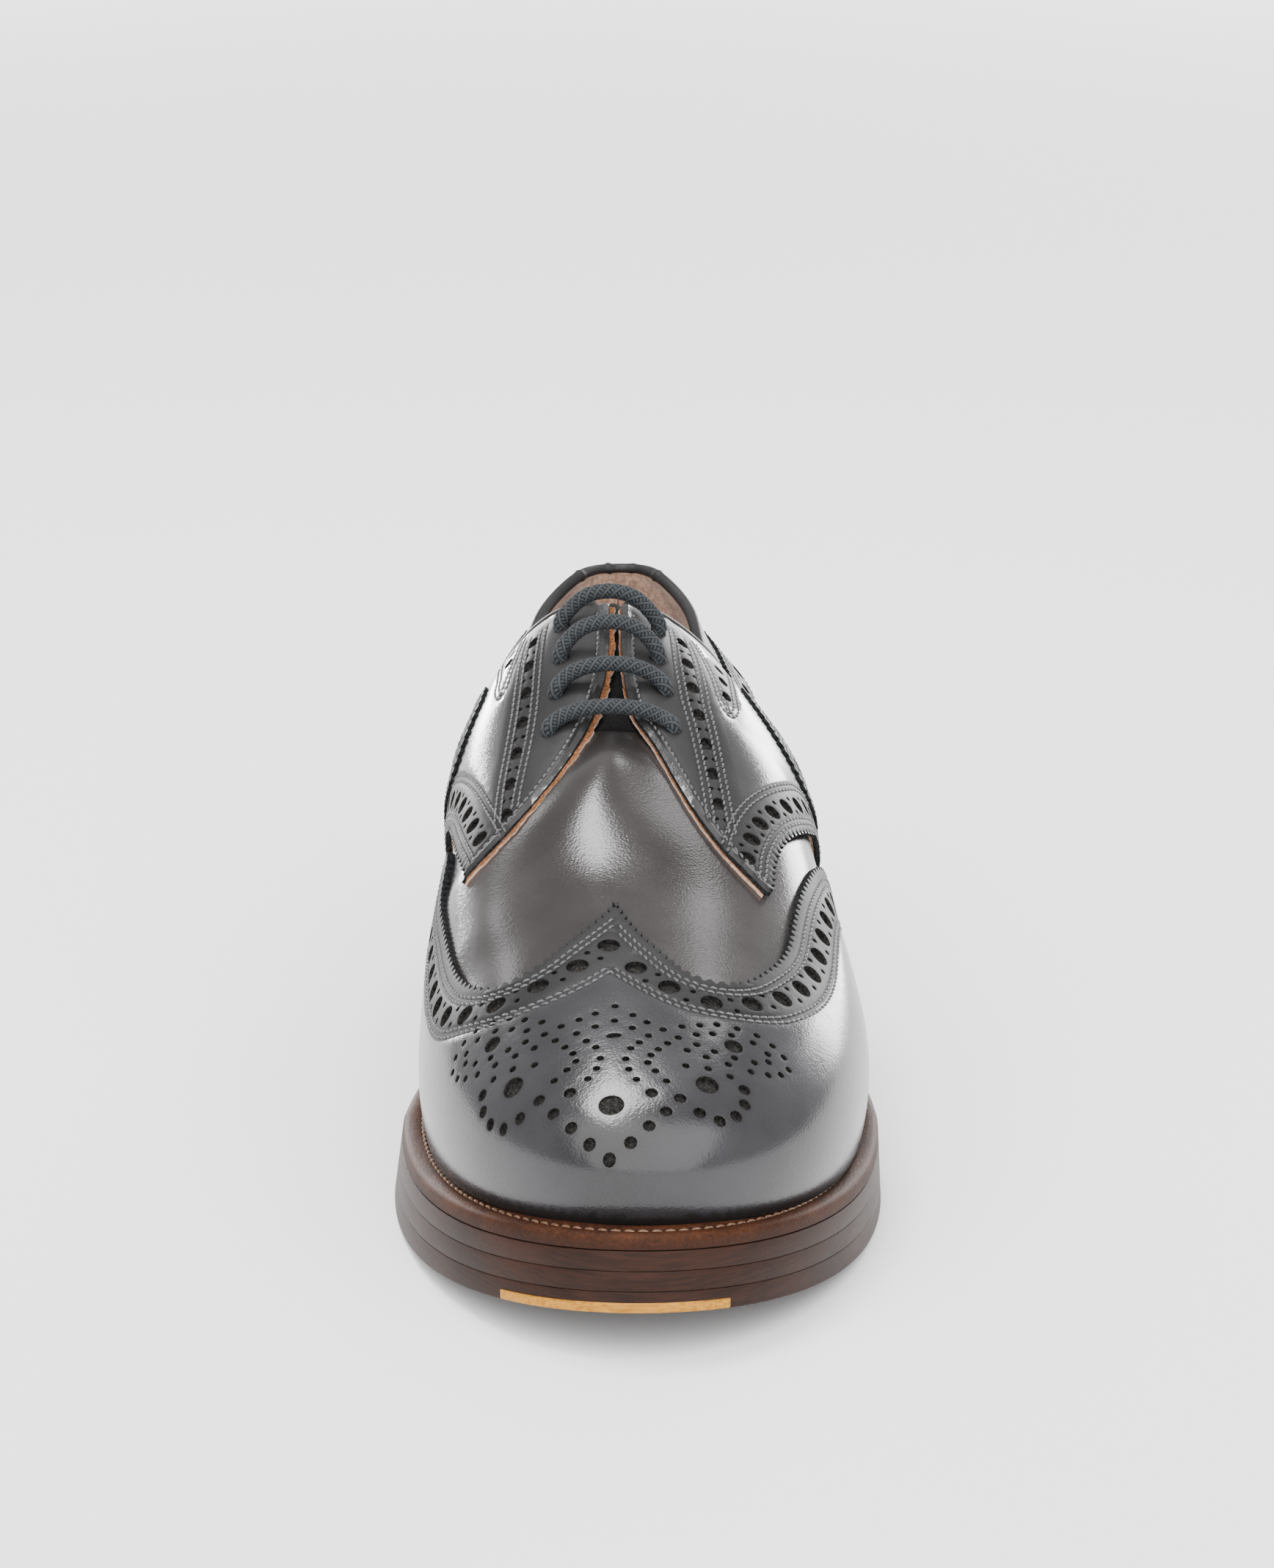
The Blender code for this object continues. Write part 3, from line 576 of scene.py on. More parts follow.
class FrontPattern(Pattern):
    """Vamp and cap: signed arc across the ridge and station, polar ahead of the toe's foot."""

    def __init__(self, last: Last) -> None:
        """Work out the bearings of the toe's fan of rays.

        Args:
            last: The last that the pattern is drawn over.
        """
        super().__init__(last)
        self.fan = np.linspace(float(last.turn_at(last.toe_foot)), 1.0, 400)
        foot = np.array([float(last.ridge_x(last.toe_foot)), last.toe_foot])
        self.bearings = {}
        for side in Side:
            ray = last.rim(self.fan, side) - foot
            tip = ray[-1] / np.linalg.norm(ray[-1])
            off = np.arccos(np.clip(ray @ tip / np.linalg.norm(ray, axis=1), -1, 1))
            self.bearings[side] = (1 - off / off[0]) * math.pi / 2

    def rays(self, flat: Array) -> tuple[Array, Array, Array]:
        """Find the rays of flat points.

        Args:
            flat: (N, 2) flat points.

        Returns:
            Side, turn and arc of each.
        """
        side = np.where(flat[:, 0] >= 0, LATERAL, MEDIAL)
        across, ahead = np.abs(flat[:, 0]), flat[:, 1] - self.last.toe_foot
        turn = self.last.turn_at(np.minimum(flat[:, 1], self.last.toe_foot))
        own = np.arctan2(ahead, np.maximum(across, 1e-9))
        for hand in Side:
            mask = (ahead > 0) & (side == hand)
            turn[mask] = np.interp(own[mask], self.bearings[hand], self.fan)
        return side, turn, np.where(ahead > 0, np.hypot(across, ahead), across)

    def flat(self, station: Array, side: Side, arc: Array) -> Array:
        """Find flat points by their rays.

        Args:
            station: Equator stations of the rays.
            side: Side of the shoe.
            arc: Distances from the ridge.

        Returns:
            (N, 2) flat points.
        """
        station, arc = np.broadcast_arrays(np.asarray(station, float), np.asarray(arc, float))
        bearing = np.interp(self.last.turn_at(station), self.fan, self.bearings[side])
        bearing = np.where(station > self.last.toe_foot, bearing, 0.0)
        return np.stack([side * arc * np.cos(bearing),
                         np.minimum(station, self.last.toe_foot) + arc * np.sin(bearing)], -1)

    def rising(self, station: Array, side: Side, height: Array) -> Array:
        """Flat points for an arc up from the feather."""
        length = self.last.length(self.last.turn_at(station), side)
        return self.flat(station, side, length - np.asarray(height))


# station, height of the collar's edge
TOPLINE = ((6.0, 95.5), (13.0, 95.5), (25.0, 92.5), (45.0, 87.5), (60.0, 85.0), (74.0, 84.5),
           (83.0, 87.5), (90.0, 92.0), (97.0, 99.0), (103.0, 106.5), (109.0, 110.6))


class RearPattern(Pattern):
    """Quarters and counter: signed run along the equator from the back, arc up from the feather."""

    def rays(self, flat: Array) -> tuple[Array, Array, Array]:
        """Find the rays of flat points.

        Args:
            flat: (N, 2) flat points.

        Returns:
            Side, turn and arc of each.
        """
        side = np.where(flat[:, 0] >= 0, LATERAL, MEDIAL)
        turn, arc = np.zeros(len(flat)), np.zeros(len(flat))
        for hand in Side:
            mask = side == hand
            turn[mask] = np.interp(np.abs(flat[mask, 0]), self.last.walks[hand], self.last.turn_grid)
            arc[mask] = self.last.length(turn[mask], hand) - flat[mask, 1]
        return side, turn, arc

    def rising(self, station: Array, side: Side, height: Array) -> Array:
        """Flat points for an arc up from the feather at an equator station."""
        station, height = np.broadcast_arrays(*(np.asarray(part, float) for part in (station, height)))
        return np.stack([side * self.last.walk(station, side), height], -1)

    def falling(self, station: Array, side: Side, arc: Array) -> Array:
        """Flat points for an arc down from the ridge at an equator station."""
        length = self.last.length(self.last.turn_at(station), side)
        return self.rising(station, side, length - np.asarray(arc, float))

    def at_height(self, station: Array, side: Side, height: Array) -> Array:
        """Find where rays come down to a height over the floor.

        Args:
            station: Equator stations of the rays.
            side: Side of the shoe.
            height: Height for each ray.

        Returns:
            (N, 2) flat points.
        """
        turn = self.last.turn_at(station)
        rows = np.linspace(0, 1, 300)
        arcs = []
        for one, level in zip(turn, height):
            length = float(self.last.length(one, side))
            points, _ = self.last.at(np.full(300, one), side, rows * length)
            arcs.append(float(np.interp(-level, -points[:, 2], rows * length)))
        return self.falling(station, side, np.array(arcs))

    def topline(self, side: Side, count: int = 90) -> Array:
        """Flat line of the collar from the back seam to the facing's top corner.

        Args:
            side: Side of the shoe.
            count: Number of points.

        Returns:
            The line.
        """
        first, final = (float(self.last.turn_at(station)) for station in (BACK_SEAM, TOPLINE[-1][0]))
        station = self.last.station_at(np.linspace(first, final, count))
        return self.at_height(station, side, spline(TOPLINE)(station))


class Value:
    """A shader value; arithmetic on it adds Math nodes."""

    def __init__(self, tree: "Tree", socket: bpy.types.NodeSocket) -> None:
        """Wrap one output socket."""
        self.tree, self.socket = tree, socket

    def _math(self, operation: str, first: object, second: object) -> "Value":
        """Add one Math node."""
        node = self.tree.node("ShaderNodeMath", {"operation": operation}, {0: first, 1: second})
        return Value(self.tree, node.outputs[0])

    def __add__(self, other: object) -> "Value":
        """Sum."""
        return self._math("ADD", self, other)

    __radd__ = __add__

    def __sub__(self, other: object) -> "Value":
        """Difference."""
        return self._math("SUBTRACT", self, other)

    def __rsub__(self, other: object) -> "Value":
        """Difference from a number."""
        return self._math("SUBTRACT", other, self)

    def __mul__(self, other: object) -> "Value":
        """Product."""
        return self._math("MULTIPLY", self, other)

    __rmul__ = __mul__

    def step(self, low: float, high: float) -> "Value":
        """Smooth step from 0 at low to 1 at high."""
        node = self.tree.node("ShaderNodeMapRange", {"interpolation_type": "SMOOTHSTEP"},
                              {"Value": self, "From Min": low, "From Max": high})
        return Value(self.tree, node.outputs[0])


class Tree:
    """Node tree of one material, with a Principled shader at its end."""

    def __init__(self, name: str) -> None:
        """Start a material with its shader and Object coordinates in millimetres.

        Args:
            name: Name of the material.
        """
        self.material = bpy.data.materials.new(name)
        self.material.use_nodes = True
        self.nodes, self.links = self.material.node_tree.nodes, self.material.node_tree.links
        self.shader = self.nodes["Principled BSDF"]
        coords = self.node("ShaderNodeTexCoord", {}, {})
        scaled = self.node("ShaderNodeVectorMath", {"operation": "SCALE"},
                           {0: coords.outputs["Object"], "Scale": 1 / MM})
        self.mm = scaled.outputs[0]

    def node(self, kind: str, settings: dict, inputs: dict) -> bpy.types.Node:
        """Add a node.

        Args:
            kind: Node type.
            settings: Attributes, set first.
            inputs: Values or links of its sockets, by name or number.

        Returns:
            The node.
        """
        node = self.nodes.new(kind)
        for key, value in settings.items():
            setattr(node, key, value)
        for key, value in inputs.items():
            self.feed(node.inputs[key], value)
        return node

    def feed(self, socket: bpy.types.NodeSocket, value: object) -> None:
        """Set or link one input socket.

        Args:
            socket: The input.
            value: A number, colour, vector, socket or Value.
        """
        if isinstance(value, Value):
            value = value.socket
        if isinstance(value, bpy.types.NodeSocket):
            self.links.new(value, socket)
        elif isinstance(value, tuple) and len(value) == 3 and len(socket.default_value) == 4:
            socket.default_value = (*value, 1.0)
        else:
            socket.default_value = value

    def noise(self, size: float, detail: float = 2.0, rough: float = 0.5, vector: object = None) -> Value:
        """Noise with features of about that size in millimetres."""
        node = self.node("ShaderNodeTexNoise", {}, {
            "Vector": vector or self.mm, "Scale": 1.0 / size, "Detail": detail, "Roughness": rough})
        return Value(self, node.outputs["Fac"])

    def cells(self, size: float) -> Value:
        """Distance field of random cells of about that size in millimetres."""
        node = self.node("ShaderNodeTexVoronoi", {}, {"Vector": self.mm, "Scale": 1.0 / size})
        return Value(self, node.outputs["Distance"])

    def stretched(self, x: float, y: float, z: float) -> bpy.types.NodeSocket:
        """Object millimetres scaled per axis."""
        node = self.node("ShaderNodeVectorMath", {"operation": "MULTIPLY"}, {0: self.mm, 1: (x, y, z)})
        return node.outputs[0]

    def attribute(self, name: str) -> Value:
        """A number that the mesh carries at its points."""
        node = self.node("ShaderNodeAttribute", {"attribute_name": name}, {})
        return Value(self, node.outputs["Fac"])

    def mix(self, factor: Value, first: object, second: object) -> bpy.types.NodeSocket:
        """Colour between two."""
        node = self.node("ShaderNodeMix", {"data_type": "RGBA"}, {"Factor": factor, 6: first, 7: second})
        return node.outputs[2]

    def bump(self, height: Value, strength: float, distance: float) -> None:
        """Tilt the shader's normal by a height field, in millimetres."""
        node = self.node("ShaderNodeBump", {}, {
            "Height": height, "Strength": strength, "Distance": distance * MM})
        self.links.new(node.outputs[0], self.shader.inputs["Normal"])

    def set(self, **values: object) -> None:
        """Feed shader sockets; underscores stand for spaces."""
        for key, value in values.items():
            self.feed(self.shader.inputs[key.replace("_", " ")], value)


Colour = tuple[float, float, float]


@dataclass(frozen=True)
class Finish:
    """A finish of the shoe; each kind dresses its own shader."""

    name: str

    def material(self) -> bpy.types.Material:
        """Make the finish.

        Returns:
            The material.
        """
        tree = Tree(self.name)
        self.dress(tree)
        return tree.material

    def dress(self, tree: Tree) -> None:
        """Feed the shader of a new material."""
        raise NotImplementedError


@dataclass(frozen=True)
class PolishedLeather(Finish):
    """Burnished calf: fine grain, cloudy tone, painted shade in seams, along cut edges and in holes, waxed
    gloss.
    """

    dark: Colour = (0.0155, 0.0127, 0.0121)
    light: Colour = (0.031, 0.0270, 0.0266)
    # Colour of the painted shade in seams, along cut edges, round holes and on the tongue, and of the
    # darker foot by the welt.
    seam: Colour = (0.006, 0.0055, 0.0055)
    rough: float = 0.13
    grain: float = 0.35
    coat: float = 0.1
    gloss: float = 0.5

    def dress(self, tree: Tree) -> None:
        """Feed the shader of a new material.

        Args:
            tree: Node tree of the material.
        """
        cloud = tree.noise(26.0, 3.0).step(0.3, 0.72)
        pores = tree.noise(0.42, 2.0, 0.6)
        # Seam numbers from the mesh: painted shade in seams, along cut edges and round holes, painted
        # shadow on the tongue, and a darker foot by the welt; they also raise the roughness.
        darkening = tree.attribute("seam").step(0.05, 1.0)
        tone = tree.mix(cloud, self.dark, self.light)
        fleck = tree.mix(pores.step(0.3, 0.75) * 0.35, tone, self.light)
        tree.set(Base_Color=tree.mix(darkening * 0.9, fleck, self.seam),
                 Roughness=self.rough + cloud * 0.05 + pores * 0.08 + darkening * 0.12,
                 Coat_Weight=self.coat, Coat_Roughness=0.14, Specular_IOR_Level=self.gloss)
        height = tree.cells(0.62) * 0.6 + pores * 0.5 + tree.noise(2.6, 2.0) * 0.5
        tree.bump(height, self.grain, 0.12)


@dataclass(frozen=True)
class RawEdge(Finish):
    """Cut leather edge: fibrous, inked dark."""

    dark: Colour
    light: Colour
    fibre: float = 0.7

    def dress(self, tree: Tree) -> None:
        """Feed the shader of a new material.

        Args:
            tree: Node tree of the material.
        """
        fibre = tree.noise(self.fibre, 4.0, 0.7)
        tree.set(Base_Color=tree.mix(fibre.step(0.35, 0.7), self.dark, self.light), Roughness=0.82,
                 Specular_IOR_Level=0.1)
        tree.bump(fibre + tree.noise(0.25, 2.0) * 0.6, 0.9, 0.35)


@dataclass(frozen=True)
class Suede(Finish):
    """Napped lining leather."""

    dark: Colour = (0.25, 0.145, 0.095)
    light: Colour = (0.62, 0.40, 0.29)

    def dress(self, tree: Tree) -> None:
        """Feed the shader of a new material.

        Args:
            tree: Node tree of the material.
        """
        nap = tree.noise(1.1, 4.0, 0.7)
        stroke = tree.noise(7.0, 2.0)
        tree.set(Base_Color=tree.mix((nap * 0.6 + stroke * 0.4).step(0.36, 0.66), self.dark, self.light),
                 Roughness=0.95, Sheen_Weight=0.35, Sheen_Roughness=0.5)
        tree.bump(nap + tree.noise(0.4, 2.0) * 0.7, 0.8, 0.4)


@dataclass(frozen=True)
class Thread(Finish):
    """Waxed sewing thread."""

    dark: Colour = (0.035, 0.035, 0.037)
    light: Colour = (0.105, 0.105, 0.11)

    def dress(self, tree: Tree) -> None:
        """Feed the shader of a new material.

        Args:
            tree: Node tree of the material.
        """
        ply = tree.noise(0.5, 2.0)
        tree.set(Base_Color=tree.mix(ply.step(0.3, 0.7), self.dark, self.light), Roughness=0.42)
        tree.bump(ply, 0.4, 0.1)


@dataclass(frozen=True)
class Braid(Finish):
    """Round waxed lace; the braid's relief is in the mesh, and the valleys between strands are painted dark
    as painted shade.
    """

    dark: Colour = (0.004, 0.0046, 0.0052)
    light: Colour = (0.044, 0.0485, 0.053)

    def dress(self, tree: Tree) -> None:
        """Feed the shader of a new material.

        Args:
            tree: Node tree of the material.
        """
        strand = tree.attribute("strand")
        fuzz = tree.noise(0.22, 3.0, 0.7)
        # Dark between the strands: painted shade in the braid's valleys.
        tree.set(Base_Color=tree.mix((strand * 0.8 + fuzz * 0.4).step(0.2, 0.95), self.dark, self.light),
                 Roughness=0.8, Specular_IOR_Level=0.12)
        tree.bump(fuzz, 0.6, 0.15)


@dataclass(frozen=True)
class SoleLeather(Finish):
    """Stacked sole leather: grain lines along the edge, waxed."""

    dark: Colour
    light: Colour
    rough: float = 0.42
    gloss: float = 0.12

    def dress(self, tree: Tree) -> None:
        """Feed the shader of a new material.

        Args:
            tree: Node tree of the material.
        """
        streak = tree.noise(1.0, 4.0, 0.65, tree.stretched(0.12, 0.12, 1.6))
        patch = tree.noise(16.0, 3.0)
        tone = tree.mix((streak * 0.6 + patch * 0.4).step(0.32, 0.68), self.dark, self.light)
        scuff = tree.noise(3.0, 5.0, 0.75).step(0.6, 0.78)
        tree.set(Base_Color=tree.mix(scuff * 0.3, tone, self.light),
                 Roughness=self.rough + streak * 0.18 + scuff * 0.1,
                 Coat_Weight=self.gloss, Coat_Roughness=0.25, Specular_IOR_Level=0.1)
        tree.bump(streak * 0.8 + tree.noise(0.6, 3.0) * 0.5, 0.5, 0.2)


@dataclass(frozen=True)
class WeltLeather(Finish):
    """Veg-tanned welt: red-brown on top, darker at the edges, in its grooves, by the upper and underneath:
    partly edge ink, partly painted shade.
    """

    tan: Colour = (0.066, 0.0215, 0.0085)
    brown: Colour = (0.022, 0.0075, 0.0033)
    ink_and_shade: Colour = (0.016, 0.008, 0.006)

    def dress(self, tree: Tree) -> None:
        """Feed the shader of a new material.

        Args:
            tree: Node tree of the material.
        """
        fibre = tree.noise(0.8, 4.0, 0.7)
        patch = tree.noise(9.0, 3.0)
        tone = tree.mix((fibre * 0.55 + patch * 0.45).step(0.34, 0.68), self.brown, self.tan)
        # High seam numbers darken the welt: edge ink, and painted shade in its grooves, by the upper and
        # underneath.
        inked_and_shaded = tree.attribute("seam").step(0.1, 0.95)
        tree.set(Base_Color=tree.mix(inked_and_shaded, tone, self.ink_and_shade), Roughness=0.46 + fibre * 0.2,
                 Specular_IOR_Level=0.1)
        tree.bump(fibre + tree.noise(0.35, 2.0) * 0.5, 0.7, 0.3)


@dataclass(frozen=True)
class Brass(Finish):
    """Brushed brass plate."""

    colour: Colour = (0.52, 0.25, 0.045)
    worn: Colour = (0.31, 0.13, 0.021)

    def dress(self, tree: Tree) -> None:
        """Feed the shader of a new material.

        Args:
            tree: Node tree of the material.
        """
        brush = tree.noise(0.5, 3.0, 0.6, tree.stretched(0.06, 1.0, 1.0))
        tree.set(Base_Color=tree.mix(brush.step(0.3, 0.75), self.colour, self.worn), Metallic=1.0,
                 Roughness=0.22 + brush * 0.2)
        tree.bump(brush, 0.25, 0.05)


@dataclass(frozen=True)
class Rubber(Finish):
    """Moulded heel rubber."""

    colour: Colour = (0.016, 0.015, 0.014)
    dusty: Colour = (0.045, 0.042, 0.040)

    def dress(self, tree: Tree) -> None:
        """Feed the shader of a new material.

        Args:
            tree: Node tree of the material.
        """
        dust = tree.noise(4.0, 4.0, 0.7)
        tree.set(Base_Color=tree.mix(dust.step(0.4, 0.75), self.colour, self.dusty), Roughness=0.7)
        tree.bump(tree.noise(0.5, 3.0), 0.4, 0.15)


@dataclass(frozen=True)
class Paper(Finish):
    """Plain pale studio floor."""

    tone: Colour = (0.95, 0.95, 0.95)

    def dress(self, tree: Tree) -> None:
        """Feed the shader of a new material."""
        tooth = tree.noise(3.0, 2.0)
        tree.set(Base_Color=self.tone, Roughness=0.9 + tooth * 0.05, Specular_IOR_Level=0.1)


class Wardrobe:
    """Every finish of the shoe, made once."""

    def __init__(self) -> None:
        """Make the materials."""
        self.vamp = PolishedLeather("vamp_calf", gloss=0.42).material()
        self.cap = PolishedLeather("cap_calf", (0.016, 0.0152, 0.0165), (0.031, 0.0295, 0.033),
                                   rough=0.14, gloss=0.42).material()
        self.quarter = PolishedLeather("quarter_calf", (0.011, 0.0105, 0.0108), (0.022, 0.0208, 0.0214),
                                       gloss=0.65).material()
        self.band = PolishedLeather("band_calf", (0.0095, 0.0090, 0.0092), (0.0205, 0.0193, 0.0196),
                                    rough=0.42, coat=0.0, gloss=0.22).material()
        self.ink_edge = RawEdge("inked_edge", (0.004, 0.0045, 0.005), (0.028, 0.030, 0.032)).material()
        self.tan_edge = RawEdge("tan_edge", (0.10, 0.040, 0.018), (0.28, 0.120, 0.053)).material()
        self.pit = RawEdge("punched_hole", (0.004, 0.004, 0.004), (0.035, 0.032, 0.029)).material()
        # Near-black matte finish on the tongue: a painted shadow under the laces.
        self.shade = RawEdge("tongue_painted_shadow", (0.0025, 0.0022, 0.0021), (0.009, 0.0082, 0.008)).material()
        self.suede = Suede("suede_lining").material()
        self.thread = Thread("grey_thread").material()
        self.welt_thread = Thread("welt_thread", (0.07, 0.030, 0.014), (0.21, 0.105, 0.050)).material()
        self.braid = Braid("lace_braid").material()
        self.sole = SoleLeather("sole_edge", (0.010, 0.0034, 0.0016), (0.029, 0.0096, 0.0045)).material()
        self.heel = SoleLeather("heel_leather", (0.010, 0.0034, 0.0016), (0.027, 0.0092, 0.0043)).material()
        self.welt = WeltLeather("welt_leather").material()
        self.sock = Suede("sock_leather", (0.20, 0.10, 0.06), (0.40, 0.23, 0.14)).material()
        self.brass = Brass("toe_brass").material()
        self.rubber = Rubber("heel_rubber").material()
        self.paper = Paper("studio_floor").material()


class Workshop:
    """Turns meshes into pieces of the shoe, and reports them."""

    def __init__(self, frame: dict, robe: Wardrobe, last: Last) -> None:
        """Keep the frame and the finishes, and draw the patterns over the last."""
        self.frame, self.robe = frame, robe
        self.front, self.rear = FrontPattern(last), RearPattern(last)

    def add(self, name: str, bm: bmesh.types.BMesh, finishes: Sequence[bpy.types.Material], slot: str,
            nodes: Sequence[str] = (), sharp: float = 38.0) -> bpy.types.Object:
        """Make a piece.

        Args:
            name: Object name.
            bm: Its mesh, in the frame's metres; freed here.
            finishes: Materials in the order of the faces' numbers.
            slot: Slot of the record; not used.
            nodes: Solids that it stands for.
            sharp: Faces that meet at more than this angle, in degrees, keep a hard edge.

        Returns:
            The object.
        """
        limit = math.radians(sharp)
        for face in bm.faces:
            face.smooth = True
        for edge in bm.edges:
            edge.smooth = len(edge.link_faces) == 2 and edge.calc_face_angle(0.0) < limit
        mesh = bpy.data.meshes.new(name)
        bm.to_mesh(mesh)
        bm.free()
        for finish in finishes:
            mesh.materials.append(finish)
        piece = bpy.data.objects.new(name, mesh)
        bpy.context.scene.collection.objects.link(piece)
        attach(piece, "root")
        if nodes:
            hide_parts(*nodes)
        LOG.info("%s: %d faces", name, len(mesh.polygons))
        return piece

    def dress(self, node: str, finish: bpy.types.Material) -> None:
        """Give a solid that stays a finish.

        Args:
            node: Name of the solid.
            finish: Its material.
        """
        solid = self.frame["nodes"][node]
        for entry in solid.material_slots:
            entry.material = finish
        LOG.info("%s: dressed", node)

    def sew(self, name: str, pattern: Pattern, rows: Sequence[tuple[Array, float]]) -> None:
        """Stitch rows into one piece.

        Args:
            name: Object name.
            pattern: Pattern that the rows are on.
            rows: Flat line of each row and its height over the last.
        """
        thread = Stitching()
        for line, height in rows:
            thread.row(pattern, line, height)
        self.add(name, thread.build(), (self.robe.thread,), "overlay_leather")


def loft(rows: Array, wrap: bool = False, caps: bool = False, mask: Array | None = None,
         layer: str = "seam") -> bmesh.types.BMesh:
    """A grid of points made into a mesh.

    Args:
        rows: (n, m, 3) points in shoemaker's millimetres.
        wrap: Close each row on itself.
        caps: Close the first and last rows with a fan.
        mask: (n, m) numbers kept at the points.
        layer: Name of those numbers.

    Returns:
        The mesh, faces outwards.
    """
    bm = bmesh.new()
    n, m = rows.shape[:2]
    bmesh.ops.create_grid(bm, x_segments=m - 1 + int(wrap), y_segments=n - 1, size=1.0)
    numbers = bm.verts.layers.float.new(layer)
    spots = place(rows if not wrap else np.concatenate([rows, rows[:, :1]], 1)).reshape(-1, 3)
    order = sorted(bm.verts, key=lambda v: (round(v.co.y, 6), round(v.co.x, 6)))
    values = np.zeros((n, m)) if mask is None else mask
    values = (np.concatenate([values, values[:, :1]], 1) if wrap else values).ravel()
    for vert, spot, value in zip(order, spots, values):
        vert.co = spot
        vert[numbers] = value
    if wrap or caps:
        bmesh.ops.remove_doubles(bm, verts=bm.verts, dist=1e-7)
    if caps:
        rims = [edge for edge in bm.edges if edge.is_boundary]
        bmesh.ops.holes_fill(bm, edges=rims, sides=0)
        ends = [face for face in bm.faces if len(face.verts) > 4]
        bmesh.ops.poke(bm, faces=ends)
    bmesh.ops.recalc_face_normals(bm, faces=bm.faces)
    return bm


def inside(points: Array, loop: Array) -> Array:
    """Find the flat points in a closed flat loop.

    Args:
        points: (N, 2) flat points.
        loop: (M, 2) corners of the loop.

    Returns:
        True for each point inside.
    """
    x, y = points[:, 0:1], points[:, 1:2]
    x0, y0 = loop[:, 0], loop[:, 1]
    x1, y1 = np.roll(x0, -1), np.roll(y0, -1)
    hits = np.zeros(len(points), int)
    for start in range(0, len(loop), 200):
        part = slice(start, start + 200)
        a0, b0, a1, b1 = x0[part], y0[part], x1[part], y1[part]
        cross = (b0 > y) != (b1 > y)
        with np.errstate(divide="ignore", invalid="ignore"):
            at = (a1 - a0) * (y - b0) / (b1 - b0) + a0
        hits += (cross & (x < at)).sum(1)
    return hits % 2 == 1


def nearest(points: Array, targets: Array) -> Array:
    """Distance from each point to the closest target.

    Args:
        points: (N, 3) points.
        targets: (M, 3) points.

    Returns:
        One distance for each point.
    """
    tree = KDTree(len(targets))
    for i, target in enumerate(targets):
        tree.insert(target, i)
    tree.balance()
    return np.array([tree.find(point)[2] for point in points])


@dataclass(frozen=True)
class Punch:
    """One punched hole on a flat pattern; wide stretches it along the first flat axis."""

    spot: tuple[float, float]
    diameter: float
    depth: float = 1.1
    wide: float = 1.0
    sides: int = 14


class Part(Enum):
    """Faces of a panel, in the order of its finishes."""

    FACE = 0
    EDGE = 1
    PIT = 2
    BAND = 3


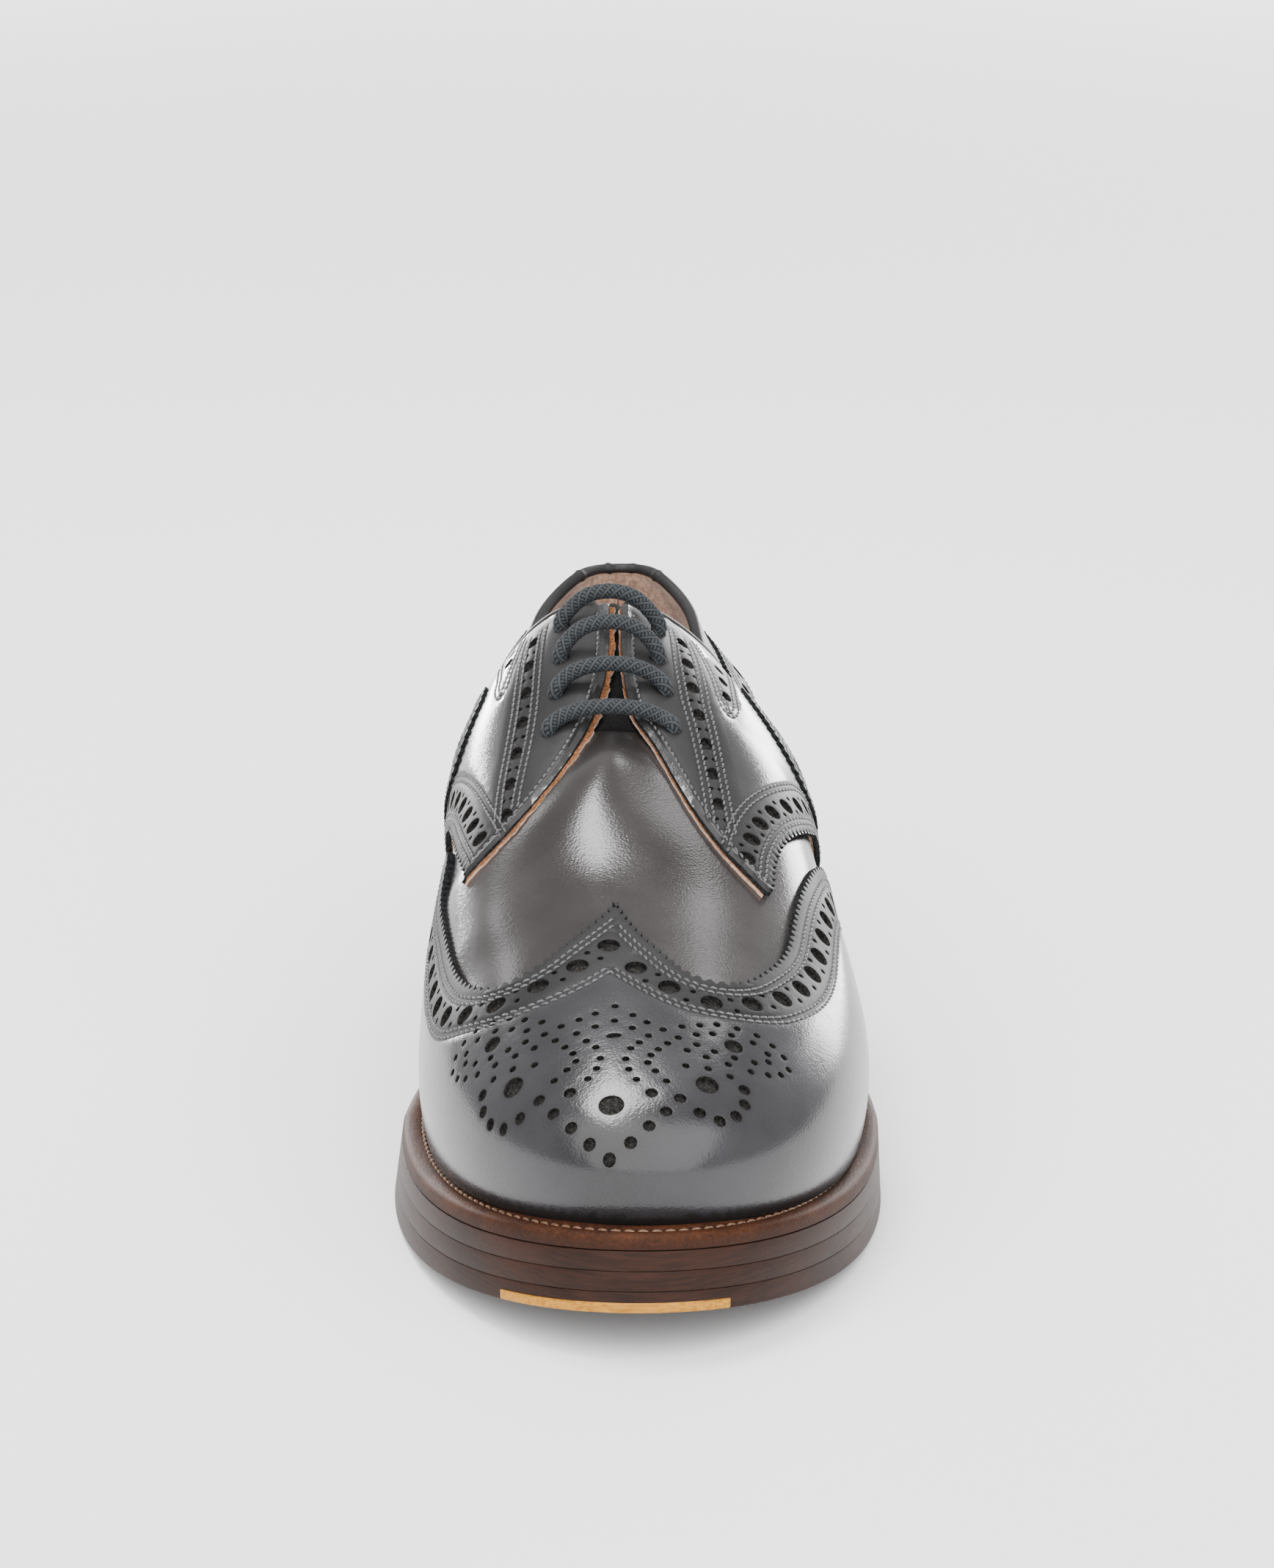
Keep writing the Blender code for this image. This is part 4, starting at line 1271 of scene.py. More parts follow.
@dataclass
class Panel:
    """A leather panel cut flat and laid on the last, with punched holes and sunk seams."""

    pattern: Pattern
    outline: Array
    low: float
    high: float
    spacing: float = 2.2
    holes: list[Punch] = field(default_factory=list)
    seams: list[Array] = field(default_factory=list)
    ribs: list[Array] = field(default_factory=list)
    sink: float = 0.28
    rib_height: float = 0.3
    edge_drop: float = 0.22
    edge_width: float = 0.6
    shoulder: float = 0.8
    hole_collar: float = 0.45
    lift: Callable[[Array], Array] | None = None
    # Height over the sole line below which the face gets darker towards the welt.
    foot_darkening: float = 0.0
    dim: Callable[[Array], Array] | None = None
    bands: list[tuple[Array, float]] = field(default_factory=list)

    def _ring(self, hole: Punch, grow: float) -> Array:
        """Flat outline of a hole that is round on the last.

        Args:
            hole: The hole.
            grow: How far outside its rim the outline runs.

        Returns:
            (sides, 2) flat points.
        """
        moves = self.pattern.stretch(np.array([hole.spot]))[0]
        angle = np.arange(hole.sides) / hole.sides * 2 * math.pi
        radius = hole.diameter / 2 + grow
        circle = np.stack([np.cos(angle) * radius * hole.wide, np.sin(angle) * radius], -1)
        return np.asarray(hole.spot) + circle @ moves.T

    def _track(self, lines: Sequence[Array], pitch: float, closed: bool = False) -> Array:
        """Points on the last along flat lines."""
        return np.concatenate([self.pattern.on_last(self.pattern.resample(line, pitch, closed))[0]
                               for line in lines])

    def _spread(self, kept: Array, row: Array, room: float) -> Array:
        """Keep the points of a row that lie inside and leave room."""
        fine = (nearest(raised(row, 0.0), kept) > room) & inside(row, self.outline)
        return np.concatenate([kept, raised(row[fine], 0.0)])

    def _field(self, kept: Array) -> Array:
        """Fill the panel evenly between the points that are kept.

        Args:
            kept: (N, 3) points of the rows and rims.

        Returns:
            (M, 2) flat points.
        """
        low, high = self.outline.min(0), self.outline.max(0)
        step = self.spacing
        across = np.arange(low[0], high[0] + step, step)
        grid = np.concatenate([
            np.stack([across + (step / 2 if k % 2 else 0), np.full(len(across), y)], -1)
            for k, y in enumerate(np.arange(low[1], high[1] + step, step * 0.87))])
        grid = grid[inside(grid, self.outline)]
        grid = grid[nearest(raised(grid, 0.0), kept) > step * 0.5]
        for hole in self.holes:
            reach = hole.diameter * max(hole.wide, 1.0)
            grid = grid[np.hypot(*(grid - hole.spot).T) > reach * 0.5]
        return grid

    def _points(self) -> tuple[Array, list[tuple[int, int]], list[Array]]:
        """Lay out the triangulation.

        Returns:
            Flat points, fixed edges and the rims of the holes.
        """
        rims = [self._ring(hole, 0.0) for hole in self.holes]
        edges, start = [], 0
        for loop in [self.outline] + rims:
            count = len(loop)
            edges += [(start + i, start + (i + 1) % count) for i in range(count)]
            start += count
        kept = raised(np.concatenate([self.outline] + rims), 0.0)
        for seam in self.seams + self.ribs:
            for shift, room in ((0.0, 0.3), (self.shoulder, 0.45), (-self.shoulder, 0.45)):
                kept = self._spread(kept, self.pattern.offset(seam, shift), room)
        for hole in self.holes:
            kept = self._spread(kept, self._ring(hole, self.hole_collar), 0.25)
        for line, half in self.bands:
            line = self.pattern.resample(line, 0.9)
            ends = [self._ring(Punch(tuple(line[k]), 2 * half, sides=40), 0.0) for k in (0, -1)]
            for row in [self.pattern.offset(line, half), self.pattern.offset(line, -half)] + ends:
                kept = self._spread(kept, row, 0.5)
        return np.concatenate([kept[:, :2], self._field(kept)]), edges, rims

    def offsets(self, flat: Array, points: Array) -> tuple[Array, Array]:
        """Work out the relief of the outer face.

        Args:
            flat: (N, 2) flat points.
            points: The same points on the last.

        Returns:
            Height over the last and seam shading of each point.
        """
        edge = nearest(points, self._track([self.outline], 0.7, True))
        drop = self.edge_drop * np.exp(-(edge / self.edge_width) ** 2)
        # Painted shade, darker along the cut edge; the seam and hole rows below add painted shade in the
        # sunk seams and round the hole rims.
        shade = 0.55 * np.exp(-edge / 0.9)
        if self.seams:
            seam = nearest(points, self._track(self.seams, 0.4))
            drop = drop + self.sink * np.exp(-(seam / 0.62) ** 2)
            shade = np.maximum(shade, 0.8 * np.exp(-seam / 0.9))
        if self.ribs:
            rib = nearest(points, self._track(self.ribs, 0.4))
            drop = drop - self.rib_height * np.exp(-(rib / 0.6) ** 2)
        if self.holes:
            rims = [self.pattern.on_last(self._ring(hole, 0.0))[0] for hole in self.holes]
            rim = nearest(points, np.concatenate(rims))
            drop = drop + 0.05 * np.exp(-(rim / 0.45) ** 2)
            shade = np.maximum(shade, 0.6 * np.exp(-rim / 0.7))
        # Darker towards the welt below that height.
        if self.foot_darkening:
            over = points[:, 2] - self.pattern.last.sole.height(points[:, 1])
            shade = np.maximum(shade, 1.0 - ease((over - self.foot_darkening + 0.7) / 1.4))
        # Painted shade that the piece gives, such as the tongue's shadow under the laces.
        if self.dim is not None:
            shade = np.maximum(shade, self.dim(flat))
        high = self.high - drop
        return (high if self.lift is None else high + self.lift(flat)), shade

    def _kinds(self, middle: Array, rims: Sequence[Array]) -> Array:
        """Sort the faces.

        Args:
            middle: (N, 2) flat middles of the faces.
            rims: Flat rims of the holes.

        Returns:
            The Part number of each face.
        """
        kind = np.full(len(middle), Part.FACE.value)
        spots = self.pattern.on_last(middle)[0]
        for line, half in self.bands:
            kind[nearest(spots, self._track([line], 0.8)) < half] = Part.BAND.value
        for ring in rims:
            close = np.hypot(*(middle - ring.mean(0)).T) < np.ptp(ring, axis=0).max()
            kind[np.flatnonzero(close)[inside(middle[close], ring)]] = Part.PIT.value
        return kind

    def build(self) -> bmesh.types.BMesh:
        """Cut the panel.

        Returns:
            A closed mesh in metres, its faces numbered by Part.
        """
        raw, edges, rims = self._points()
        flat, _, faces, *_ = delaunay_2d_cdt([Vector(p) for p in raw], edges, [], 0, 1e-6)
        flat = np.array([tuple(p) for p in flat])
        corners = np.array([face for face in faces if len(face) == 3])
        corners = corners[inside(flat[corners].mean(1), self.outline)]
        kind = self._kinds(flat[corners].mean(1), rims)
        points, normals = self.pattern.on_last(flat)
        high, shade = self.offsets(flat, points)
        low = self.low + (0 if self.lift is None else self.lift(flat))
        depth = np.zeros(len(flat))
        for ring, hole in zip(rims, self.holes):
            close = np.hypot(*(flat - ring.mean(0)).T) < np.ptp(ring, axis=0).max()
            depth[close] = np.maximum(depth[close], hole.depth)
        under, over, floor = (place(points + normals * np.broadcast_to(level, len(flat))[:, None])
                              for level in (low, high, high - depth))
        bm = bmesh.new()
        number = bm.verts.layers.int.new("number")
        seam = bm.verts.layers.float.new("seam")
        verts = {}
        for i in np.unique(corners):
            vert = bm.verts.new(under[i])
            vert[number], vert[seam] = int(i), float(shade[i])
            verts[i] = vert
        a, b, c = (under[corners[:, k]] for k in range(3))
        facing = (np.cross(b - a, c - a) * (normals[corners[:, 0]] * np.array([1, -1, 1]))).sum(1)
        turn = np.median(facing) < 0
        part = bm.faces.layers.int.new("part")
        for corner, part_number in zip(corners, kind):
            face = bm.faces.new([verts[i] for i in (corner[::-1] if turn else corner)])
            face[part] = int(part_number)
        lifted = bmesh.ops.extrude_face_region(bm, geom=bm.faces[:], use_keep_orig=True)["geom"]
        tops = [item for item in lifted if isinstance(item, bmesh.types.BMFace)]
        top_set = set(tops)
        for face in bm.faces:
            face.material_index = face[part] if face in top_set else Part.EDGE.value
        for item in lifted:
            if isinstance(item, bmesh.types.BMVert):
                item.co = over[item[number]]
        pits = [face for face in tops if face[part] == Part.PIT.value]
        if pits:
            before = set(bm.faces)
            sunk = bmesh.ops.extrude_face_region(bm, geom=pits)["geom"]
            bmesh.ops.delete(bm, geom=[face for face in pits if face.is_valid], context="FACES_ONLY")
            for item in sunk:
                if isinstance(item, bmesh.types.BMVert):
                    item.co = floor[item[number]]
                    item[seam] = 1.0
            for face in bm.faces:
                if face not in before:
                    face.material_index = Part.PIT.value
        bmesh.ops.recalc_face_normals(bm, faces=bm.faces)
        return bm


def pinked(pattern: Pattern, line: Array, inward: float, pitch: float = 2.5,
           depth: float = 1.2) -> Array:
    """A flat line cut into small rounded teeth.

    Args:
        pattern: Pattern that the line is on.
        line: Flat line through the tooth tips.
        inward: 1 where the leather lies to the left of the line, -1 where it lies to the right.
        pitch: True distance between teeth.
        depth: How far the notches go in.

    Returns:
        The toothed line.
    """
    fine = pattern.resample(line, pitch / 8)
    phase = np.arange(len(fine)) / 8 * 2 * math.pi
    return pattern.offset(fine, inward * depth * (0.5 - 0.5 * np.cos(phase)) ** 1.4)


@dataclass
class Stitching:
    """Rows of lock stitches, joined into one mesh."""

    length: float = 1.75
    pitch: float = 2.05
    radius: float = 0.33
    slant: float = 0.16
    sides: int = 6
    rows: list = field(default_factory=list)

    def row(self, pattern: Pattern, line: Array, height: float) -> None:
        """Add one row.

        Args:
            pattern: Pattern that the row is on.
            line: Its flat line.
            height: Its height over the last.
        """
        knots = pattern.resample(line, self.pitch)
        points, normals = pattern.on_last(knots)
        self.rows.append((points + normals * height, normals))

    def track(self, points: Array, normals: Array) -> None:
        """Add one row through points in space."""
        self.rows.append((points, normals))

    def build(self) -> bmesh.types.BMesh:
        """Join every stitch.

        Returns:
            A mesh of short rounded rods.
        """
        bm = bmesh.new()
        along = np.array([-1.0, -0.62, 0.0, 0.62, 1.0])
        swell = np.array([0.25, 0.85, 1.0, 0.85, 0.25])
        dip = np.array([-0.55, -0.1, 0.12, -0.1, -0.55])
        angle = np.arange(self.sides) / self.sides * 2 * math.pi
        for points, normals in self.rows:
            middle, normal = (points[:-1] + points[1:]) / 2, (normals[:-1] + normals[1:]) / 2
            step = points[1:] - points[:-1]
            gap = np.linalg.norm(step, axis=1, keepdims=True)
            run = step / np.maximum(gap, 1e-9)
            side = np.cross(normal, run)
            run = run + side * self.slant
            scale = np.minimum(gap / self.pitch, 1.15)
            for centre, n, r, s, k in zip(middle, normal, run, side, scale):
                half = self.length / 2 * float(k[0])
                rings = []
                for a, w, d in zip(along, swell, dip):
                    ring = (centre + r * (a * half) + n * (d * self.radius))[None] + self.radius * w * (
                        np.cos(angle)[:, None] * s + np.sin(angle)[:, None] * n * 0.8)
                    rings.append([bm.verts.new(p) for p in place(ring)])
                for first, second in zip(rings, rings[1:]):
                    for i in range(self.sides):
                        j = (i + 1) % self.sides
                        bm.faces.new((first[i], first[j], second[j], second[i]))
                bm.faces.new(rings[0][::-1])
                bm.faces.new(rings[-1])
        bmesh.ops.recalc_face_normals(bm, faces=bm.faces)
        return bm


def hole_line(pattern: Pattern, line: Array, pitch: float, large: float, small: float,
              first: float = 0.5, spread: float = 1.9) -> list[Punch]:
    """Large holes along a flat line, with a pair of pinholes between each two.

    Args:
        pattern: Pattern that the line is on.
        line: Flat line through the large holes.
        pitch: True distance between large holes.
        large: Diameter of the large holes.
        small: Diameter of the pinholes.
        first: Share of the pitch before the first large hole.
        spread: Distance of the pinholes from the line.

    Returns:
        The holes.
    """
    count = 8
    fine = pattern.resample(line, pitch / count)
    left, right = pattern.offset(fine, spread), pattern.offset(fine, -spread)
    start = int(round(first * count))
    holes = [Punch(tuple(spot), large, 1.25, sides=18) for spot in fine[start::count]]
    middle = start + count // 2
    for row in (left, right):
        holes += [Punch(tuple(spot), small, 0.9, sides=8) for spot in row[middle::count]]
    return holes


@dataclass
class Piece:
    """A sub-assembly of the shoe, made in a workshop."""

    shop: Workshop

    def __post_init__(self) -> None:
        """Take the patterns and finishes from the workshop."""
        self.front, self.rear, self.robe = self.shop.front, self.shop.rear, self.shop.robe


@dataclass
class Vamp(Piece):
    """Vamp and tongue in one piece, under the cap and the quarters."""

    tongue_half: float = 18.5
    tongue_top: float = 104.0
    tongue_round: float = 40.0
    # share of the tongue's half width, share of its rounding
    tongue_edge: tuple = ((-1.0, 0.16), (-0.93, 0.05), (-0.75, 0.0), (0.0, -0.03), (0.75, 0.0),
                          (0.93, 0.05), (1.0, 0.16))
    tails: tuple[float, float] = (125.0, 114.0)
    wall: float = 1.6
    # Painted shadow on the tongue under the laces: where its darkening fades out onto the vamp, and the
    # half width and end of its near-black band.
    shade_start: float = 152.0
    shade_run: float = 24.0
    shade_half: float = 21.0
    shadow_end: float = 136.0
    crown: float = 4.2
    crown_half: float = 7.2
    under: float = 1.2
    # station and flat place of the medial wing's edge
    wing: tuple = ((150.0, -52.0), (174.0, -48.6), (196.0, -44.7), (212.0, -40.8), (226.8, -36.1),
                   (236.0, -30.2), (240.0, -24.9))

    def build(self) -> None:
        """Cut and lay the vamp."""
        shop, front, robe = self.shop, self.front, self.robe
        last = front.last
        loops = []
        for side, tail in zip(Side, self.tails):
            station = last.station_at(np.linspace(float(last.turn_at(tail)), 1.0, 150))
            loops.append(front.flat(station, side, last.length(last.turn_at(station), side)))
        top = np.array(self.tongue_edge)
        tongue = np.stack([top[:, 0] * self.tongue_half,
                           self.tongue_top + top[:, 1] * self.tongue_round], -1)
        outline = np.concatenate([tongue, [(self.tongue_half, self.tails[0])], loops[0],
                                  loops[1][::-1][1:], [(-self.tongue_half, self.tails[1] + 3.0)]])
        # The tongue's band gets the near-black finish, a painted shadow under the laces.
        shadow_band = np.array([(0.0, self.tongue_top), (0.0, self.shadow_end)])
        panel = Panel(front, front.resample(outline, 1.6, True), -self.wall, 0.0, spacing=2.4,
                      lift=self.creases, dim=self.shade, bands=[(shadow_band, self.shade_half)])
        shop.add("vamp_and_tongue", panel.build(), (robe.vamp, robe.suede, robe.pit, robe.shade),
                 "upper_leather", ("upper", "tongue"))

    def shade(self, flat: Array) -> Array:
        """Painted shadow on the tongue under the laces, which fades out on the vamp."""
        return 1.0 - ease((flat[:, 1] - self.shade_start) / self.shade_run)

    def creases(self, flat: Array) -> Array:
        """Crown from the throat to the cap, drop under the facings, and roll along the medial wing.

        Args:
            flat: (N, 2) flat points.

        Returns:
            The rise of each point.
        """
        x, station = flat[:, 0], flat[:, 1]
        width = self.crown_half + 0.40 * np.clip(station - 165.0, 0.0, 60.0)
        crown = ease((station - 144.0) / 30.0) * (1 - ease((station - 170.0) / 46.0))
        axis = -1.5 - 4.5 * ease((station - 160.0) / 30.0)
        crown = self.crown * crown * np.exp(-((x - axis) / width) ** 2)
        under = -self.under * (1 - ease((station - 148.0) / 26.0)) * np.exp(-(x / 30.0) ** 4)
        wing = np.array(self.wing)
        roll = np.exp(-((x - np.interp(station, wing[:, 0], wing[:, 1]) - 7.0) / 11.0) ** 2)
        return crown + under + roll * ease((station - 172.0) / 14.0) * (1 - ease((station - 206.0) / 26.0))


@dataclass
class WingCap(Piece):
    """Winged toe cap with its punched border and the medallion."""

    low: float = 0.05
    high: float = 1.9
    peak: float = 0.2
    tip: int = 17
    tails: tuple[float, float] = (148.0, 135.0)
    rows: tuple = (3.2, 4.8)
    lower_rows: tuple = (-0.9, 0.6)
    # signed arc across the ridge, station
    edge: tuple = (
        (-101.0, 135.0), (-90.0, 137.0), (-77.0, 140.5), (-64.0, 146.0), (-55.0, 153.0), (-49.5, 161.0),
        (-48.0, 167.5), (-48.6, 174.0), (-47.6, 184.0), (-44.7, 196.0), (-40.8, 212.1), (-36.1, 226.8),
        (-30.2, 236.0), (-24.9, 239.6), (-19.3, 239.4), (-12.4, 233.9), (-5.1, 225.6), (0.2, 217.8),
        (4.6, 228.3), (10.7, 238.1), (15.6, 243.8), (20.1, 245.1), (26.6, 242.6), (32.1, 235.5),
        (37.8, 224.0), (40.8, 210.4), (43.5, 196.6), (47.2, 184.9), (56.5, 167.5), (67.0, 159.0),
        (81.0, 153.0), (101.0, 148.0))
    # station and arc from the ridge: medial, then lateral
    lower: tuple = (
        ((155.5, 96.0), (160.0, 84.0), (167.0, 72.0), (176.0, 63.5), (188.0, 58.0), (203.0, 54.5),
         (220.7, 50.7), (236.5, 44.1), (245.1, 36.1), (252.3, 27.3), (256.9, 17.8), (250.9, 8.4),
         (244.6, 1.7)),
        ((265.0, 6.0), (270.5, 15.9), (264.6, 23.9), (256.5, 31.7), (246.6, 39.5), (231.7, 48.3),
         (215.6, 53.0), (196.0, 56.5), (182.0, 62.0), (173.0, 70.0), (167.0, 82.0), (162.0, 99.0)))
    holes_medial: tuple = (
        (-1.8, 235.5), (-8.9, 242.6), (-17.3, 246.6), (-27.2, 246.1), (-36.5, 239.6), (-43.4, 230.0),
        (-48.5, 214.2), (-52.5, 197.9), (-56.8, 180.0), (-62.6, 167.6), (-69.9, 160.6), (-82.9, 154.4),
        (-94.0, 150.5))
    holes_lateral: tuple = (
        (3.8, 244.1), (12.2, 251.6), (22.2, 254.0), (31.4, 247.6), (38.0, 240.6), (42.7, 231.7),
        (45.8, 223.5), (49.3, 208.0), (51.5, 198.0), (54.8, 187.0), (63.4, 171.5), (72.0, 165.0),
        (84.0, 160.5), (97.0, 156.5))
    medallion_top: tuple = (-1.7, 258.5)
    medallion_turn: float = math.radians(11.0)
    medallion_skew: float = 0.07
    # half of the medallion: diameter, then (across, along) from its top
    medallion: tuple = (
        (1.65, ((0.0, 0.0), (4.0, 2.8), (7.3, 4.8), (11.0, 6.6), (14.5, 8.4), (18.7, 9.3), (22.8, 9.8),
                (27.4, 9.3), (32.0, 7.6), (35.2, 4.6), (0.0, 5.2), (3.9, 7.4), (7.7, 9.5), (12.1, 11.1),
                (16.6, 12.1), (21.0, 12.6), (26.1, 12.4), (31.4, 11.3), (35.5, 9.0), (38.5, 6.0),
                (5.6, 12.2), (10.0, 13.7), (3.6, 14.4), (8.3, 16.0), (2.6, 18.0), (7.6, 18.6), (3.3, 21.2),
                (9.4, 20.9), (5.0, 24.2), (12.0, 23.5), (16.4, 17.4), (21.5, 16.3), (26.6, 16.2),
                (15.2, 4.1), (19.1, 1.9), (22.8, -0.4), (27.3, -1.8), (31.8, -2.7), (35.6, -2.2),
                (38.6, -0.8), (40.2, 2.2), (18.5, 5.7), (22.1, 3.6), (26.3, 1.6), (31.2, 0.8),
                (34.8, 1.9))),
        (2.7, ((8.6, 27.7), (15.2, 27.8), (12.0, 32.2), (19.8, 30.2), (24.6, 30.2), (28.5, 26.8),
               (30.4, 22.4), (30.1, 18.2), (8.1, 36.5), (4.2, 40.6), (0.0, 43.8))),
        (4.1, ((27.0, 5.4),)), (4.9, ((21.4, 21.5),)), (5.3, ((0.0, 31.9),)))

    def punches(self) -> list[Punch]:
        """Every hole of the medallion.

        Returns:
            The holes, mirrored about the medallion's own axis.
        """
        top = np.array(self.medallion_top)
        across = np.array([math.cos(self.medallion_turn), math.sin(self.medallion_turn)])
        along = np.array([-across[1], across[0]])
        holes = [Punch(tuple(top + along * 10.4 + across * 0.7), 1.7, 0.9, 2.0, 12)]
        for diameter, spots in self.medallion:
            for u, w in spots:
                for sign in ((1.0,) if u == 0.0 else (1.0, -1.0)):
                    spot = top + across * (sign * u + self.medallion_skew * w) + along * w
                    depth = 0.95 if diameter < 3 else 0.5 if u == 0.0 else 1.1
                    holes.append(Punch(tuple(spot), diameter, depth, 1.0, 10 if diameter < 3 else 20))
        return holes

    def build(self) -> None:
        """Cut, punch and sew the cap."""
        shop, front, robe = self.shop, self.front, self.robe
        last = front.last
        knots = np.array(self.edge)
        halves = [front.curve(half, 0.7) for half in (knots[:self.tip + 1], knots[self.tip:])]
        edge = np.concatenate([halves[0], halves[1][1:]])
        feather = []
        for side, tail in zip(Side, self.tails):
            station = last.station_at(np.linspace(float(last.turn_at(tail)), 1.0, 170))
            feather.append(front.rising(station, side, 0.5))
        foot = front.resample(np.concatenate([feather[0], feather[1][::-1][1:]]), 1.8)
        loop = np.concatenate([pinked(front, edge, inward=1.0), foot])
        seams = []
        medial, lateral = edge[edge[:, 0] <= self.peak], edge[edge[:, 0] >= self.peak]
        for half, side in ((medial, MEDIAL), (lateral, LATERAL)):
            for gap in self.rows:
                row = front.offset(half, gap)
                seams.append(row[row[:, 0] * side > 0.3])
        medial, lateral = (front.flat(table[:, 0], side, table[:, 1]) for table, side in
                           zip(map(np.array, self.lower), (MEDIAL, LATERAL)))
        for table in (medial, np.concatenate([medial[-1:], lateral])):
            line = front.curve(table, 1.0)
            seams += [front.offset(line, shift) for shift in self.lower_rows]
        holes = self.punches()
        bands = [(front.offset(edge, 2.0), 3.0)]
        for table in (self.holes_medial, self.holes_lateral):
            line = front.curve(np.array(table), 1.0)
            holes += hole_line(front, line, 9.9, 4.9, 1.4, 0.0)
            bands.append((line, 5.6))
        panel = Panel(front, loop, self.low, self.high, spacing=2.0, holes=holes, seams=seams,
                      edge_drop=0.15, foot_darkening=3.4, bands=bands)
        shop.add("wing_cap_leather", panel.build(), (robe.cap, robe.ink_edge, robe.pit, robe.band),
                 "overlay_leather", ("wing_cap",))
        shop.sew("wing_cap_stitching", front, [(row, self.high - THREAD_SINK) for row in seams])


@dataclass
class Quarter(Piece):
    """One quarter: facing with eyelets, punched strip, arched tail, collar loop, and its lining."""

    name: str
    side: Side
    facing: tuple
    arch: tuple
    strip: tuple
    eyelets: tuple
    loop: tuple
    loop_holes: tuple
    low: float = 0.95
    high: float = 2.35
    raw: float = 0.4
    loop_dull: bool = True

    def line(self, knots: Array | tuple, from_ridge: bool = True) -> Array:
        """A smooth flat line.

        Args:
            knots: Station and arc of its points.
            from_ridge: Whether the arcs run down from the ridge, or up from the feather.

        Returns:
            The line.
        """
        table = np.array(knots, float)
        lay = self.rear.falling if from_ridge else self.rear.rising
        return self.rear.curve(lay(table[:, 0], self.side, table[:, 1]), 0.8)

    def foot(self, count: int) -> Array:
        """Flat line over the feather from the arch's tail to the back seam."""
        return self.rear.rising(np.linspace(self.arch[-1][0], BACK_SEAM, count), self.side, 2.0)

    def spots(self, knots: tuple) -> Array:
        """Flat points at (station, arc from the ridge) knots."""
        table = np.array(knots)
        return self.rear.falling(table[:, 0], self.side, table[:, 1])

    def build(self) -> None:
        """Cut, punch and sew the quarter."""
        shop, rear, robe = self.shop, self.rear, self.robe
        left = -self.side
        collar = rear.topline(self.side)
        facing = self.line(self.facing)
        arch = self.line(self.arch, False)
        loop = self.line(self.loop)
        middle = self.line((np.array(self.strip[0]) + np.array(self.strip[1])) / 2)
        border = rear.offset(arch, left * 7.4)
        outline = np.concatenate([
            rear.resample(collar, 1.5), rear.resample(facing, 1.2)[1:], pinked(rear, arch, inward=left)[1:],
            rear.resample(self.foot(90), 2.5)[1:]])
        seams = [rear.offset(facing, left * 2.5)[6:-3]]
        for shift in (-0.75, 0.75):
            seams += [rear.offset(self.line(knots), shift) for knots in self.strip]
        seams += [rear.offset(arch, left * gap)[3:-2] for gap in (2.6, 4.1, 11.8, 13.3)]
        seams += [rear.offset(loop, left * shift) for shift in (0.0, 1.4)]
        seams += [rear.offset(collar, left * -gap)[2:70] for gap in (9.0, 10.4)]
        seams = [row[inside(row, outline)] for row in seams]
        seams = [row for row in seams if len(row) > 4]
        holes = [replace(hole, wide=1.4) if hole.diameter > 2 else hole
                 for hole in hole_line(rear, middle, 11.2, 3.3, 1.2, 0.5, 1.0)]
        holes += hole_line(rear, border[5:], 8.0, 4.3, 1.25, 0.6, 1.8)
        loop_spots = self.spots(self.loop_holes)
        holes += [Punch(tuple(spot), 2.6, 1.1, 1.7, 14) for spot in loop_spots]
        holes += hole_line(rear, rear.offset(collar, left * -5.2)[4:66], 8.0, 3.6, 1.2, 0.5, 1.5)
        holes += [Punch(tuple(spot), 3.7, 1.35, 1.0, 20) for spot in self.spots(self.eyelets)]
        holes = [hole for hole in holes if inside(np.array([hole.spot]), outline)[0]]
        bands = [(rear.offset(facing, left * 8.3), 5.9), (middle, 6.0), (border, 7.0)]
        if self.loop_dull:
            bands.append((loop_spots, 4.6))
        panel = Panel(rear, outline, self.low, self.high, spacing=2.2, holes=holes, seams=seams,
                      edge_drop=0.38, ribs=[rear.offset(facing, left * 1.15)], bands=bands)
        shop.add(f"{self.name}_leather", panel.build(),
                 (robe.quarter, robe.ink_edge, robe.pit, robe.band), "overlay_leather", (self.name,))
        shop.sew(f"{self.name}_stitching", rear, [(row, self.high - THREAD_SINK) for row in seams])

    def lining_edge(self) -> Array:
        """Edge of the lining: over the collar, down the facing, along the arch and back on the feather.

        Returns:
            The flat line, from the back seam.
        """
        rear, left = self.rear, -self.side
        facing = rear.resample(self.line(self.facing), 1.0)
        count = np.arange(len(facing))
        wander = np.sin(count * 1.9) * 0.5 + np.sin(count * 0.73 + 1.0) * 0.5
        facing = rear.offset(facing, -left * self.raw * (1.0 + 0.35 * wander))
        arch = rear.offset(self.line(self.arch, False), left * 1.8)
        return np.concatenate([rear.resample(rear.topline(self.side), 2.0), facing[1:],
                               rear.resample(arch, 2.0)[1:],
                               rear.resample(self.foot(60), 3.0)[1:]])


